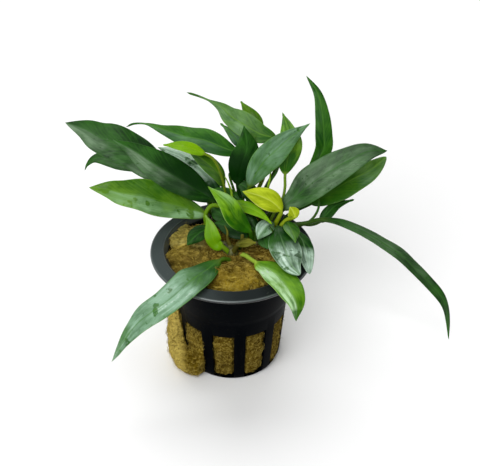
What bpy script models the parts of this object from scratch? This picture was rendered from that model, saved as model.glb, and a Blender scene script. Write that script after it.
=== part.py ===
# Potted anubias: a small water plant rooted in mineral wool in a slotted net pot.
# The origin is the middle of the pot's underside, +Z is up and -Y is the front.

import math

import bmesh
import bpy
import numpy as np
from mathutils import Matrix

# Lengths are given in millimetres and turned into metres where the meshes are made
MM = 0.001

# Net pot
RIM_OUTER_RADIUS = 27.5
RIM_INNER_RADIUS = 22.8
POT_HEIGHT = 45.5
RIM_DROP = 0.9
LIP_THICKNESS = 1.1
WALL_THICKNESS = 1.2
FLOOR_THICKNESS = 1.2
SLOT_BOTTOM = 0.6
SLOT_TOP = 21.5
# Outside of the wall: heights and radii, with a step below the plain collar
WALL_HEIGHTS = (0.0, 1.0, 3.0, 21.5, 27.0, 29.5, 43.5)
WALL_RADII = (15.4, 16.4, 17.1, 18.7, 19.3, 20.2, 22.9)
# The slot cutters reach from inside the wall to well outside of it
SLOT_CUT_INNER = 14.0
SLOT_CUT_OUTER = 34.0
RIB_COUNT = 10
RIB_ANGLE = math.radians(12.2)
FIRST_RIB = math.radians(8.5)
POT_SEGMENTS = 40
FLOOR_SLOT_INNER = 5.0
FLOOR_SLOT_OUTER = 12.0
FLOOR_SLOT_WIDTH = 2.6

# Gap kept between pieces that touch
GAP = 0.3

# Mineral wool
WOOL_TOP = 41.4
SLOT_WOOL_TOP = 21.0
WOOL_FLUSH = -0.4
RIB_CLEARANCE = math.radians(1.3)
# How far the wool swells out of each slot, counted from the slot right of the front rib
SLOT_SWELL = (0.2, 0.3, 0.4, 0.3, 0.2, 0.3, 0.6, 0.1, 0.1, 0.4)
# The fold of wool that hangs out of the pot's left side: heights, the angles from the front that it
# spans and its thickness
FOLD_LEVELS = (
    (0.5, -96, -39, 4.0), (3.0, -99, -37, 4.5), (6.5, -98, -38, 4.4), (9.0, -98, -68, 4.0),
    (14.5, -96, -70, 3.3), (18.0, -94, -75, 2.4), (23.0, -91, -79, 1.3))
FOLD_POINTS = 7
FOLD_GAP = 0.9

# Torn lumps on top of the wool: centre, half sizes and turn about Z in degrees
LUMPS = {
    "wool_lump_rear_left": ((-16.2, 7.6, 43.6), (5.4, 6.0, 1.8), 24),
    "wool_lump_left": ((-14.2, -3.8, 43.6), (7.4, 4.6, 1.8), -6),
    "wool_lump_front": ((1.4, -14.4, 43.6), (11.0, 6.2, 1.8), 4),
    "wool_lump_right": ((12.2, -3.0, 43.4), (6.0, 3.6, 1.6), -14),
}

LUMP_SEGMENTS = 12
LUMP_RINGS = 6

# Creeping stems of the plantlets: points along the middle, and the thickest radius
RHIZOMES = {
    "rhizome_left": (((-8.5, 10.5, 44.2), (-7, 14, 44.2), (-3, 17.5, 44.5)), 2.3),
    "rhizome_rear": (((0, 13, 44.1), (3, 17, 44.1), (8, 18, 44.5)), 2.3),
    "rhizome_right": (((7, 3, 44.2), (12, 8, 44.2), (16, 11.5, 44.6)), 2.4),
    "rhizome_front": (((-5, 4, 44.1), (-2, 1, 44.1), (1.5, -3, 44.3)), 2.3),
}

RHIZOME_RINGS = 8
RHIZOME_SIDES = 8

# Leaves: the points that the stalk and the midrib pass through, how many of them are stalk,
# the blade's half width, where along it the blade is widest, how drawn out the tip is,
# the way the face looks at the blade's base and at its tip, and how far each half folds up
LEAVES = {
    "leaf_left_wide": (
        ((-5.5, 14.5, 47), (-9, 17, 54.5), (-17, 18, 58.5), (-25, 20, 63), (-31, 22, 67), (-38, 25, 70),
         (-45, 27, 72), (-50, 29, 74), (-57, 31, 75.5)),
        2, 6.5, 0.54, 0.9, (0.1, -0.5, 0.8), (-0.1, -0.6, 0.8), 8),
    "leaf_left_over": (
        ((-4, 13, 47), (-6, 14.5, 54), (-12, 16, 58), (-18, 17, 62), (-26, 18, 67), (-34, 20, 72),
         (-40, 21, 75)),
        1, 5.6, 0.45, 1.1, (0.1, -0.6, 0.8), (-0.1, -0.7, 0.7), 8),
    "leaf_left_behind": (
        ((-7, 17.5, 47), (-10, 22, 54.5), (-19, 26, 58.5), (-28, 29, 59.5), (-36, 31, 59.5),
         (-42, 33, 59.5), (-48, 34, 59), (-51, 33, 57), (-52, 32, 55)),
        2, 3.9, 0.5, 1.2, (0, -0.3, 0.9), (-0.2, -0.4, 0.8), 6),
    "leaf_left_low": (
        ((-9, 11, 47), (-9, 12, 50), (-16, 11, 54), (-22.5, 10, 57), (-29, 9, 60), (-36, 8, 62),
         (-41, 8, 63.5), (-47.5, 8, 64.5)),
        1, 6.2, 0.48, 0.9, (0.1, -0.4, 0.9), (-0.1, -0.6, 0.8), 6),
    "leaf_upper_left": (
        ((1, 20, 47), (3, 22, 58), (4.5, 21, 66), (2.5, 20.5, 69.5), (-2.5, 21, 71.5), (-9, 23.5, 73),
         (-16, 27, 72.5), (-23, 31, 72.5), (-29, 34, 73), (-34, 36, 72), (-37, 37, 70)),
        3, 4.2, 0.32, 2.6, (0, -0.4, 0.9), (-0.1, -0.5, 0.8), 8),
    "leaf_young_left": (
        ((-2, 14.5, 47), (-2, 15.5, 55), (-3.5, 15.5, 64), (-6, 15.5, 70.5), (-9, 16, 72.5),
         (-16, 16, 75.5), (-23, 17, 75.5)),
        4, 1.9, 0.4, 1.0, (0, -0.6, 0.8), (0, -0.6, 0.8), 14),
    "leaf_left_glossy": (
        ((-4.5, 19, 47), (-5, 19.5, 54), (-7, 21.5, 58), (-9.5, 23, 60.5), (-13, 25, 62.5),
         (-17, 26.5, 64.5), (-21.5, 27.5, 66), (-25.5, 28, 67.5)),
        1, 3.5, 0.45, 0.9, (0.2, -0.6, 0.8), (0, -0.6, 0.8), 8),
    "leaf_left_inner": (
        ((-3, 17, 47), (-2.5, 18.5, 52), (-3, 19.5, 57), (-4.5, 20, 61.5), (-7.5, 20.5, 65),
         (-11, 21.5, 67.5), (-15, 23, 69.5)),
        2, 2.9, 0.5, 1.0, (0.5, -0.6, 0.6), (0.2, -0.6, 0.8), 8),
    "leaf_top_long": (
        ((7, 18, 47), (12, 21, 56), (16, 21.5, 66), (14.5, 22, 74), (9, 24, 75.5), (4, 26.5, 77.5),
         (-0.5, 29.5, 79), (-4, 32.5, 81), (-10, 35, 83), (-15.5, 36, 84.5)),
        3, 4, 0.34, 3.4, (-0.2, -0.6, 0.7), (0.1, -0.6, 0.8), 6),
    "leaf_top_small": (
        ((5, 19, 47), (11, 24, 58), (12, 28, 67), (10, 31, 73), (7.5, 33.5, 75.5), (5, 35.5, 78),
         (3, 37, 80.5)),
        3, 2.3, 0.4, 1.1, (0.3, -0.7, 0.6), (0.1, -0.7, 0.7), 10),
    "leaf_top_narrow": (
        ((3, 20, 47), (5, 24, 58), (4, 25, 64), (3, 25, 69), (1.5, 25.5, 72), (-0.5, 27, 74),
         (-4, 29, 76.5)),
        3, 1.5, 0.4, 1.3, (-0.3, -0.7, 0.6), (-0.2, -0.7, 0.7), 10),
    "leaf_middle_dark": (
        ((2, 16, 47), (3, 17, 53), (2, 18, 59), (3, 18, 66), (5, 19, 73), (4, 22, 80)),
        2, 4.6, 0.5, 1.2, (0.1, -0.9, 0.4), (0.1, -0.8, 0.6), 6),
    "leaf_middle_right": (
        ((5, 16, 47), (5.5, 16, 53), (6, 15, 60), (10, 15, 69), (14.5, 15, 74.5), (20, 17, 79),
         (26, 20, 82)),
        2, 4.4, 0.45, 1.2, (0.2, -0.8, 0.6), (0.2, -0.7, 0.7), 6),
    "leaf_right_behind": (
        ((13, 13, 47), (17, 15, 54), (18, 15.5, 59), (18, 16.5, 64), (19, 18.5, 71), (19.5, 20, 75.5),
         (18.5, 24, 78.5), (17, 27, 82)),
        3, 3.6, 0.42, 1.2, (0.3, -0.8, 0.4), (0.2, -0.8, 0.5), 8),
    "leaf_tall": (
        ((15, 14.5, 47), (21.5, 17, 55), (26, 18, 62.5), (29, 20, 67), (31, 22, 71), (31, 25, 74.5),
         (30.5, 28, 80), (29, 32, 86), (25, 35, 91.5)),
        2, 3.0, 0.36, 0.9, (0.4, -0.8, 0.4), (0.2, -0.8, 0.5), 10),
    "leaf_right_wide": (
        ((16, 11, 47), (17, 12, 52.5), (22, 12, 58), (27.5, 12, 64), (32.5, 12, 68), (37.5, 13, 71),
         (45, 15, 74), (52, 18, 72.5)),
        1, 5.7, 0.42, 0.8, (-0.2, -0.7, 0.7), (-0.1, -0.6, 0.8), 8),
    "leaf_right_under": (
        ((17, 13, 47), (22, 15, 50), (27, 15, 53), (33.5, 16, 57), (40, 17, 61), (47, 19, 64),
         (52.5, 22, 67.5)),
        2, 5.0, 0.42, 0.65, (-0.2, -0.6, 0.8), (-0.2, -0.6, 0.8), 6),
    "leaf_right_small": (
        ((18, 10, 47), (23, 10, 48), (27, 9, 48.5), (30, 9.5, 49.5), (32.5, 11, 51.5), (36, 13.5, 53.5),
         (42, 16, 54)),
        3, 1.8, 0.3, 1.2, (-0.1, -0.5, 0.8), (0, -0.5, 0.8), 12),
    "leaf_drooping": (
        ((18, 8, 47), (22, 8, 49), (26, 8, 50), (30.5, 7, 52), (37.5, 5, 52), (46.5, 2, 49), (51.5, 1, 46),
         (57, -1, 43), (61.5, -2, 38.5), (66.5, -4, 34), (72, -6, 27.5), (74.5, -7, 20), (76, -7, 10)),
        3, 2.1, 0.55, 0.9, (0, -0.4, 0.9), (0.5, -0.7, 0.4), 12),
    "leaf_young_centre": (
        ((7, 4, 47), (6, 3, 50), (4, 3, 52.5), (1, 3, 56), (-2, 5, 60.5), (-8, 8, 65)),
        1, 3.4, 0.42, 1.1, (0.3, -0.7, 0.6), (0.1, -0.6, 0.8), 12),
    "leaf_young_behind": (
        ((-8, 8.5, 47), (-9, 8.5, 52.5), (-7, 10, 55.5), (-3.5, 10, 55.5), (1.5, 9.5, 56), (5, 8.5, 56),
         (8, 7, 55.5), (11, 5, 54.5), (13.5, 3, 53)),
        3, 2.0, 0.45, 1.1, (0, -0.5, 0.8), (0, -0.5, 0.8), 12),
    "leaf_yellow": (
        ((14, 9, 47), (16, 8.5, 52), (16.5, 8.5, 54.5), (13.5, 9.5, 57.5), (9, 11, 59), (3.5, 13, 59.5)),
        2, 3.9, 0.4, 1.0, (0, -0.5, 0.8), (0, -0.4, 0.9), 6),
    "leaf_young_small": (
        ((-1, -2.5, 47), (-3, -2, 47.5), (-5, -1, 47.5), (-6.5, 0, 50), (-7.5, 3, 53), (-9, 5, 55.5)),
        1, 2.4, 0.4, 1.2, (-0.2, -0.8, 0.5), (-0.1, -0.7, 0.6), 8),
    "leaf_young_tiny": (
        ((15.5, 7.5, 47), (18.5, 8, 51), (21, 7, 53), (20.5, 7.5, 55), (19.5, 8, 56.5)),
        2, 2.0, 0.4, 0.9, (0.3, -0.7, 0.5), (0.2, -0.7, 0.6), 8),
    "leaf_front_left": (
        ((-0.5, -5.5, 46), (-4, -8, 46), (-8, -13, 46.5), (-13, -20, 47.5), (-20, -28, 46), (-27, -31, 42),
         (-31.5, -32, 37.5), (-35.5, -32.5, 31), (-39.5, -31, 22)),
        1, 5.3, 0.28, 1.0, (-0.1, -0.3, 0.9), (-0.7, -0.6, 0.4), 6),
    "leaf_front_right": (
        ((3, -3.5, 47), (5, -5.5, 46), (8, -9.5, 46.5), (12, -14, 47.5), (15.5, -19.5, 47.5),
         (18.5, -25, 47), (20.5, -29, 45), (20.5, -31.5, 40)),
        2, 5.2, 0.45, 0.9, (0.3, -0.3, 0.9), (0.5, -0.7, 0.4), 8),
    "leaf_inner_dark": (
        ((12, 7, 47), (13.5, 7, 50.5), (12, 4.5, 51.5), (10, 1, 51), (8.5, -1.5, 50)),
        1, 2.9, 0.5, 1.0, (-0.2, -0.6, 0.8), (-0.2, -0.6, 0.8), 8),
    "leaf_hanging_wide": (
        ((14.5, 5.5, 47), (15.5, 4.5, 50.5), (16, 1, 50.5), (17, -4, 50), (18, -9.5, 50),
         (19.5, -15, 49.5), (22, -18.5, 48.5)),
        1, 5.2, 0.5, 0.7, (0, -0.3, 0.9), (0.2, -0.6, 0.8), 6),
    "leaf_hanging_narrow": (
        ((17, 5.5, 47), (18.5, 5.5, 51.5), (19.5, 2, 52.5), (20.5, -3, 53), (21, -6, 52)),
        1, 2.5, 0.5, 1.1, (0.1, -0.4, 0.9), (0.2, -0.5, 0.8), 10),
    "leaf_hanging_right": (
        ((18.5, 4.5, 47), (20.5, 5, 49), (23.5, 0, 48.5), (24.5, -7, 47.5), (25.5, -13, 44.5)),
        1, 3.3, 0.5, 0.6, (0.3, -0.3, 0.9), (0.5, -0.6, 0.6), 6),
    "leaf_dark_left": (
        ((-4, 5, 47), (-7, 5, 49), (-9.5, 4, 49.5), (-12, 2, 49), (-15, -2, 48)),
        1, 2.8, 0.5, 1.0, (-0.1, -0.5, 0.9), (-0.2, -0.6, 0.8), 6),
    "leaf_dark_centre": (
        ((2, -0.5, 47), (4.5, 2, 47.6), (2, 4.5, 49), (-2, 6, 50), (-6, 7.5, 50.5)),
        1, 3.1, 0.45, 0.9, (0.1, -0.6, 0.8), (0.1, -0.6, 0.8), 8),
    "leaf_olive_small": (
        ((0.5, -2.5, 47), (2, -2.7, 48.8), (4, -3.2, 50), (8, -4.5, 51)),
        1, 1.5, 0.5, 1.2, (0, -0.5, 0.9), (0, -0.5, 0.9), 6),
    "leaf_crown_right": (
        ((9, 7, 47), (8.5, 7, 49), (6, 8.5, 50.5), (4, 10, 50.5), (1.5, 11, 50)),
        1, 2.2, 0.5, 1.0, (0.1, -0.7, 0.6), (0.1, -0.7, 0.6), 8),
    "leaf_crown_low": (
        ((10, 4.5, 47), (10, 3, 48.5), (11, 0, 48.5), (12, -3.5, 47.5)),
        1, 2.3, 0.5, 1.0, (-0.1, -0.6, 0.8), (-0.2, -0.6, 0.8), 8),
    "leaf_rear_left": (
        ((-3, 20.5, 47), (-5, 25, 53), (-8, 29, 57), (-14, 33, 58.5), (-21, 37, 57), (-28, 40, 52)),
        2, 3.6, 0.45, 1.2, (0.2, -0.4, 0.9), (-0.2, 0.2, 0.9), 8),
    "leaf_rear_middle": (
        ((5, 21, 47), (7, 27, 50), (8, 32, 52), (9, 37, 51.5), (10, 41, 48.5)),
        2, 3.4, 0.45, 1.2, (0, 0.3, 0.9), (0, 0.8, 0.6), 8),
    "leaf_rear_right": (
        ((11.5, 15.5, 47), (22, 21, 52), (31, 27, 53), (39, 32, 51), (46, 36, 46)),
        2, 4.0, 0.45, 1.2, (0.2, 0.3, 0.9), (0.4, 0.7, 0.6), 8),
}

# Leaf stalks and blades
STALK_RADIUS = 0.75
BLADE_HALF_THICKNESS = 0.5
LEAF_SIDES = 8
STALK_RINGS = 3
BLADE_RINGS = 7
SHORT_LEAF = 29.0
SHORT_BLADE_RINGS = 5

# Base colour, metallic and roughness of each material
POT_BLACK = ("net pot black", (0.012, 0.012, 0.013), 0.0, 0.38)
WOOL_BROWN = ("mineral wool brown", (0.23, 0.16, 0.045), 0.0, 0.95)
STEM_GREEN = ("rhizome green", (0.13, 0.12, 0.03), 0.0, 0.6)
LEAF_GREEN = ("leaf green", (0.045, 0.12, 0.022), 0.0, 0.35)
YOUNG_GREEN = ("young leaf green", (0.25, 0.36, 0.05), 0.0, 0.35)
YOUNG_LEAVES = ("leaf_young_left", "leaf_young_centre", "leaf_young_behind", "leaf_yellow",
                "leaf_young_small", "leaf_young_tiny", "leaf_front_right")


def material(spec):
    name, colour, metallic, roughness = spec
    found = bpy.data.materials.get(name)
    if found:
        return found
    new = bpy.data.materials.new(name)
    new.use_nodes = True
    shader = new.node_tree.nodes["Principled BSDF"]
    shader.inputs["Base Color"].default_value = (*colour, 1.0)
    shader.inputs["Metallic"].default_value = metallic
    shader.inputs["Roughness"].default_value = roughness
    return new


def add_object(name, mesh, collection, spec):
    mesh.materials.append(material(spec))
    obj = bpy.data.objects.new(name, mesh)
    collection.objects.link(obj)
    return obj


def mesh_from(bm, name):
    bmesh.ops.recalc_face_normals(bm, faces=bm.faces)
    if bm.calc_volume(signed=True) < 0:
        bmesh.ops.reverse_faces(bm, faces=bm.faces)
    mesh = bpy.data.meshes.new(name)
    bm.to_mesh(mesh)
    bm.free()
    mesh.shade_smooth()
    mesh.set_sharp_from_angle(angle=math.radians(40))
    return mesh


# Curves and lofts

def smooth_path(points):
    # A Catmull-Rom curve through the points, finely sampled, with the distance along it
    p = np.array(points, float)
    ends = np.vstack([2 * p[0] - p[1], p, 2 * p[-1] - p[-2]])
    t = np.linspace(0, 1, 24, endpoint=False)[:, None]
    runs = []
    for a, b, c, d in zip(ends, ends[1:], ends[2:], ends[3:]):
        runs.append(0.5 * (2 * b + (c - a) * t + (2 * a - 5 * b + 4 * c - d) * t ** 2
                           + (3 * b - a - 3 * c + d) * t ** 3))
    curve = np.vstack(runs + [p[-1:]])
    along = np.concatenate([[0], np.cumsum(np.linalg.norm(np.diff(curve, axis=0), axis=1))])
    return curve, along


def at_distance(curve, along, distance):
    return np.stack([np.interp(distance, along, curve[:, k]) for k in range(3)], -1)


def unit(v):
    return v / np.linalg.norm(v, axis=-1, keepdims=True)


def loft(name, rings, tip=None):
    # A closed body through rings of equal point count, ending flat or in a single tip
    bm = bmesh.new()
    rows = [[bm.verts.new(p * MM) for p in ring] for ring in rings]
    count = len(rows[0])
    for lower, upper in zip(rows, rows[1:]):
        for k in range(count):
            n = (k + 1) % count
            bm.faces.new((lower[k], lower[n], upper[n], upper[k]))
    bm.faces.new(rows[0])
    if tip is None:
        bm.faces.new(rows[-1])
    else:
        point = bm.verts.new(tip * MM)
        for k in range(count):
            bm.faces.new((rows[-1][k], rows[-1][(k + 1) % count], point))
    return mesh_from(bm, name)


# Leaves

def blade_width(t, widest, tip_power):
    # 0 at both ends and 1 where the blade is widest
    rise = np.sin(np.pi / 2 * np.clip(t / widest, 0, 1)) ** 0.75
    fall = np.sin(np.pi / 2 * np.clip((1 - t) / (1 - widest), 0, 1)) ** tip_power
    return np.where(t < widest, rise, fall)


def make_leaf(name, leaf, collection):
    path, stalk_count, half_width, widest, tip_power, face_base, face_tip, fold = leaf
    curve, along = smooth_path(path)
    length = along[-1]
    blade_start = along[stalk_count * 24]
    blade_rings = BLADE_RINGS if length > SHORT_LEAF else SHORT_BLADE_RINGS
    stalk_at = np.linspace(0, blade_start, STALK_RINGS, endpoint=False)
    t = np.linspace(0, 1, blade_rings, endpoint=False)
    distance = np.concatenate([stalk_at, blade_start + t * (length - blade_start)])
    t = np.clip((distance - blade_start) / (length - blade_start), 0, 1)

    middle = at_distance(curve, along, distance)
    ahead = unit(at_distance(curve, along, distance + 0.5) - at_distance(curve, along, distance - 0.5))
    face = (1 - t)[:, None] * unit(np.array(face_base)) + t[:, None] * unit(np.array(face_tip))
    side = unit(np.cross(ahead, face))
    up = np.cross(side, ahead)

    half = STALK_RADIUS * (1 - t) ** 2 + half_width * blade_width(t, widest, tip_power)
    thick = BLADE_HALF_THICKNESS + (STALK_RADIUS - BLADE_HALF_THICKNESS) * (1 - t) ** 8
    thick = thick * np.clip((1 - t) * 8, 0, 1) ** 0.5
    lift = math.radians(fold) * np.clip(t * 5, 0, 1)
    angle = np.arange(LEAF_SIDES) * 2 * np.pi / LEAF_SIDES
    across = half[:, None] * np.cos(angle)
    through = thick[:, None] * np.sin(angle) + np.abs(across) * np.sin(lift)[:, None]
    across = across * np.cos(lift)[:, None]
    rings = (middle[:, None] + across[..., None] * side[:, None] + through[..., None] * up[:, None])
    mesh = loft(name, rings, tip=np.array(path[-1], float))
    add_object(name, mesh, collection, YOUNG_GREEN if name in YOUNG_LEAVES else LEAF_GREEN)


# Creeping stems

def make_rhizome(name, spec, collection):
    path, radius = spec
    curve, along = smooth_path(path)
    t = np.linspace(0, 1, RHIZOME_RINGS)
    middle = at_distance(curve, along, t * along[-1])
    ahead = unit(np.gradient(middle, axis=0))
    side = unit(np.cross(ahead, (0.0, 0.0, 1.0)))
    up = np.cross(side, ahead)
    # Rounded ends, and a slight swelling at every other ring where old leaves sat
    rounded = np.sqrt(np.clip(1 - np.abs(2 * t - 1) ** 4, 0.12, 1))
    size = radius * rounded * np.where(np.arange(RHIZOME_RINGS) % 2, 1.0, 0.9)
    angle = np.arange(RHIZOME_SIDES) * 2 * np.pi / RHIZOME_SIDES
    rings = (middle[:, None] + size[:, None, None] * (np.cos(angle)[:, None] * side[:, None]
                                                      + np.sin(angle)[:, None] * up[:, None]))
    add_object(name, loft(name, rings), collection, STEM_GREEN)


# Net pot

def wall_radius(z):
    return float(np.interp(z, WALL_HEIGHTS, WALL_RADII))


def pot_profile():
    # Half of the pot's section, down the outside, in to the axis and up the inside
    rim_low = POT_HEIGHT - RIM_DROP
    collar = WALL_HEIGHTS[-1]
    lip = 0.4
    outside = [(radius, z) for z, radius in zip(WALL_HEIGHTS, WALL_RADII)][::-1]
    inside = [(radius - WALL_THICKNESS, z) for z, radius in zip(WALL_HEIGHTS, WALL_RADII)][2:]
    return [
        (RIM_INNER_RADIUS + lip, POT_HEIGHT),
        (RIM_OUTER_RADIUS - lip, rim_low + 0.15),
        (RIM_OUTER_RADIUS, rim_low - 0.25),
        (RIM_OUTER_RADIUS - lip, rim_low - LIP_THICKNESS),
        (wall_radius(collar) + 0.8, collar + 0.1),
        *outside,
        (0.0, 0.0),
        (0.0, FLOOR_THICKNESS),
        (inside[0][0] - 0.6, FLOOR_THICKNESS),
        *inside,
        (RIM_INNER_RADIUS, POT_HEIGHT - 0.4),
    ]


def slot_cutter(index, collection):
    # A wedge between two ribs, from the base edge up to the collar
    half = (2 * math.pi / RIB_COUNT - RIB_ANGLE) / 2
    middle = FIRST_RIB + (index + 0.5) * 2 * math.pi / RIB_COUNT
    bm = bmesh.new()
    bmesh.ops.create_cube(bm, size=1.0)
    for v in bm.verts:
        radius = SLOT_CUT_OUTER if v.co.y < 0 else SLOT_CUT_INNER
        angle = middle + (half if v.co.x > 0 else -half)
        z = SLOT_TOP if v.co.z > 0 else SLOT_BOTTOM
        v.co = (radius * math.sin(angle) * MM, -radius * math.cos(angle) * MM, z * MM)
    return cutter_object("slot_cutter_%d" % index, mesh_from(bm, "slot_cutter"), collection)


def floor_cutter(index, collection):
    # A straight drain slot in the pot's floor, pointing out from the middle
    angle = FIRST_RIB + (index + 0.5) * 2 * math.pi / RIB_COUNT
    bm = bmesh.new()
    bmesh.ops.create_cube(bm, size=1.0)
    length = FLOOR_SLOT_OUTER - FLOOR_SLOT_INNER
    place = (Matrix.Rotation(angle, 4, "Z")
             @ Matrix.Translation((0, -(FLOOR_SLOT_INNER + length / 2) * MM, 0))
             @ Matrix.Diagonal((FLOOR_SLOT_WIDTH * MM, length * MM, 6 * MM, 1)))
    bmesh.ops.transform(bm, matrix=place, verts=bm.verts)
    return cutter_object("floor_cutter_%d" % index, mesh_from(bm, "floor_cutter"), collection)


def cutter_object(name, mesh, collection):
    obj = bpy.data.objects.new(name, mesh)
    obj.hide_render = True
    obj.display_type = "WIRE"
    collection.objects.link(obj)
    return obj


def make_pot(collection, cutters):
    profile = pot_profile()
    mesh = bpy.data.meshes.new("net_pot")
    points = [(r * MM, 0.0, z * MM) for r, z in profile]
    # The two points on the axis are joined only through the floor's faces
    pairs = [(k, (k + 1) % len(points)) for k in range(len(points))]
    edges = [(a, b) for a, b in pairs if points[a][0] or points[b][0]]
    mesh.from_pydata(points, edges, [])
    pot = add_object("net_pot", mesh, collection, POT_BLACK)
    screw = pot.modifiers.new("turn", "SCREW")
    screw.steps = POT_SEGMENTS
    screw.render_steps = POT_SEGMENTS
    screw.use_merge_vertices = True
    screw.merge_threshold = 0.00001
    for index in range(RIB_COUNT):
        for make, label in ((slot_cutter, "slot"), (floor_cutter, "drain")):
            cut = pot.modifiers.new("%s %d" % (label, index), "BOOLEAN")
            cut.operation = "DIFFERENCE"
            cut.object = make(index, cutters)
    return pot


# Mineral wool

def make_wool(collection):
    pitch = 2 * math.pi / RIB_COUNT
    half = (pitch - RIB_ANGLE) / 2 - RIB_CLEARANCE
    low = FLOOR_THICKNESS + GAP
    levels = (low, low + 0.4, low + 0.8, 7.0, 14.0, SLOT_WOOL_TOP - 0.4, SLOT_WOOL_TOP, 27.0, WOOL_TOP)
    rings = []
    for number, z in enumerate(levels):
        inside = wall_radius(z) - WALL_THICKNESS - GAP - 0.1
        if number == 0:
            inside -= 1.0
        in_slot = 2 <= number <= 5
        swell_here = math.sin(math.pi * min(max((z - SLOT_BOTTOM) / (SLOT_TOP - SLOT_BOTTOM), 0), 1)) ** 0.5
        ring = []
        for index in range(RIB_COUNT):
            middle = FIRST_RIB + (index + 0.5) * pitch
            edge = wall_radius(z) + WOOL_FLUSH
            swollen = edge + SLOT_SWELL[index] * swell_here
            outer = (edge, swollen, edge) if in_slot else (inside, inside, inside)
            turns = (-half, -half + 0.01, 0.0, half - 0.01, half, pitch / 2)
            radii = (inside, outer[0], outer[1], outer[2], inside, inside)
            for turn, radius in zip(turns, radii):
                angle = middle + turn
                ring.append((radius * math.sin(angle), -radius * math.cos(angle), z))
        rings.append(np.array(ring))
    add_object("wool_body", loft("wool_body", rings), collection, WOOL_BROWN)


def make_fold(collection):
    # A curved band outside the wall and its ribs, thick below and thin above
    blunt = 0.25
    rings = []
    for z, start, end, thickness in FOLD_LEVELS:
        near = wall_radius(z) + FOLD_GAP
        turns = np.radians(np.linspace(start, end, FOLD_POINTS))
        bulge = np.sin(np.linspace(blunt, np.pi - blunt, FOLD_POINTS)) ** 0.5 * thickness
        ring = [(near * math.sin(turn), -near * math.cos(turn), z) for turn in turns]
        ring += [((near + out) * math.sin(turn), -(near + out) * math.cos(turn), z)
                 for turn, out in zip(turns[::-1], bulge[::-1])]
        rings.append(np.array(ring))
    add_object("wool_fold", loft("wool_fold", rings), collection, WOOL_BROWN)


def make_lump(name, spec, collection):
    # A flattened ball with a few broad bumps, pressed against the pot's wall where it reaches it
    centre, half_sizes, turn = spec
    bm = bmesh.new()
    bmesh.ops.create_uvsphere(bm, u_segments=LUMP_SEGMENTS, v_segments=LUMP_RINGS, radius=1.0)
    for v in bm.verts:
        x, y, z = v.co
        bump = 1 + 0.07 * math.sin(3 * x + 2 * y + turn) + 0.06 * math.sin(4 * y - 2 * x)
        v.co = (x * bump * half_sizes[0] * MM, y * bump * half_sizes[1] * MM,
                math.copysign(abs(z) ** 0.6, z) * half_sizes[2] * MM)
    place = Matrix.Translation([c * MM for c in centre]) @ Matrix.Rotation(math.radians(turn), 4, "Z")
    bmesh.ops.transform(bm, matrix=place, verts=bm.verts)
    for v in bm.verts:
        limit = (wall_radius(v.co.z / MM) - WALL_THICKNESS - GAP - 0.2) * MM
        reach = math.hypot(v.co.x, v.co.y)
        if reach > limit:
            v.co.x *= limit / reach
            v.co.y *= limit / reach
    add_object(name, mesh_from(bm, name), collection, WOOL_BROWN)


def main():
    for obj in list(bpy.data.objects):
        bpy.data.objects.remove(obj)
    plant = bpy.data.collections.new("potted anubias")
    cutters = bpy.data.collections.new("cutters")
    for collection in (plant, cutters):
        bpy.context.scene.collection.children.link(collection)

    make_pot(plant, cutters)
    make_wool(plant)
    make_fold(plant)
    for name, spec in LUMPS.items():
        make_lump(name, spec, plant)
    for name, spec in RHIZOMES.items():
        make_rhizome(name, spec, plant)
    for name, leaf in LEAVES.items():
        make_leaf(name, leaf, plant)


main()
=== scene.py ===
import math
import random

import bpy
import numpy as np
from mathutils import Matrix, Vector, noise


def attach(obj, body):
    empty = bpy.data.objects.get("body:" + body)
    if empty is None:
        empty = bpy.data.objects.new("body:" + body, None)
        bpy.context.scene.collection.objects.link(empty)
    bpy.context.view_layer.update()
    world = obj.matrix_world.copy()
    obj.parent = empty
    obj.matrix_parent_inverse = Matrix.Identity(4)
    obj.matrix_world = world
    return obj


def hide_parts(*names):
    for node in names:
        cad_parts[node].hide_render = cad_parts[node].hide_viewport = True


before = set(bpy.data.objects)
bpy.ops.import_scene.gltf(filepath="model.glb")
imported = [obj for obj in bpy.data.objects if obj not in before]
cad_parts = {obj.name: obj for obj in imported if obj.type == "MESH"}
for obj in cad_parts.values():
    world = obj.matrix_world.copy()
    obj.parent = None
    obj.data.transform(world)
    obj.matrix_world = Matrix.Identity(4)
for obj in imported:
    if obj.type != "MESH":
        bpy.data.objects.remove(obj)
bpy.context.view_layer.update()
mm = 0.001  # the shapes below are written in millimetres
dice = random.Random(41)
print("frame loaded,", len(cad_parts), "solids")


# Camera

camera = {
    "target": (0, 0, 0.0445),
    "elevation": 37.75,
    "distance": 0.4,
    "lens": 89.03,
    "sensor": 36,
    "shift": (0.0169, 0.0349),
    "nearest": 0.01,
}


def makeCamera():
    data = bpy.data.cameras.new("camera")
    data.lens, data.sensor_width = camera["lens"], camera["sensor"]
    data.shift_x, data.shift_y = camera["shift"]
    data.clip_start = camera["nearest"]
    obj = bpy.data.objects.new("camera", data)
    bpy.context.scene.collection.objects.link(obj)
    tilt = math.radians(camera["elevation"])
    back = Vector((0, -math.cos(tilt), math.sin(tilt)))
    obj.location = Vector(camera["target"]) + back * camera["distance"]
    obj.rotation_euler = (math.pi / 2 - tilt, 0, 0)
    bpy.context.scene.camera = obj


makeCamera()
print("camera set")


# Shader helpers: a socket that can be used in sums, and a material to add nodes to

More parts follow.
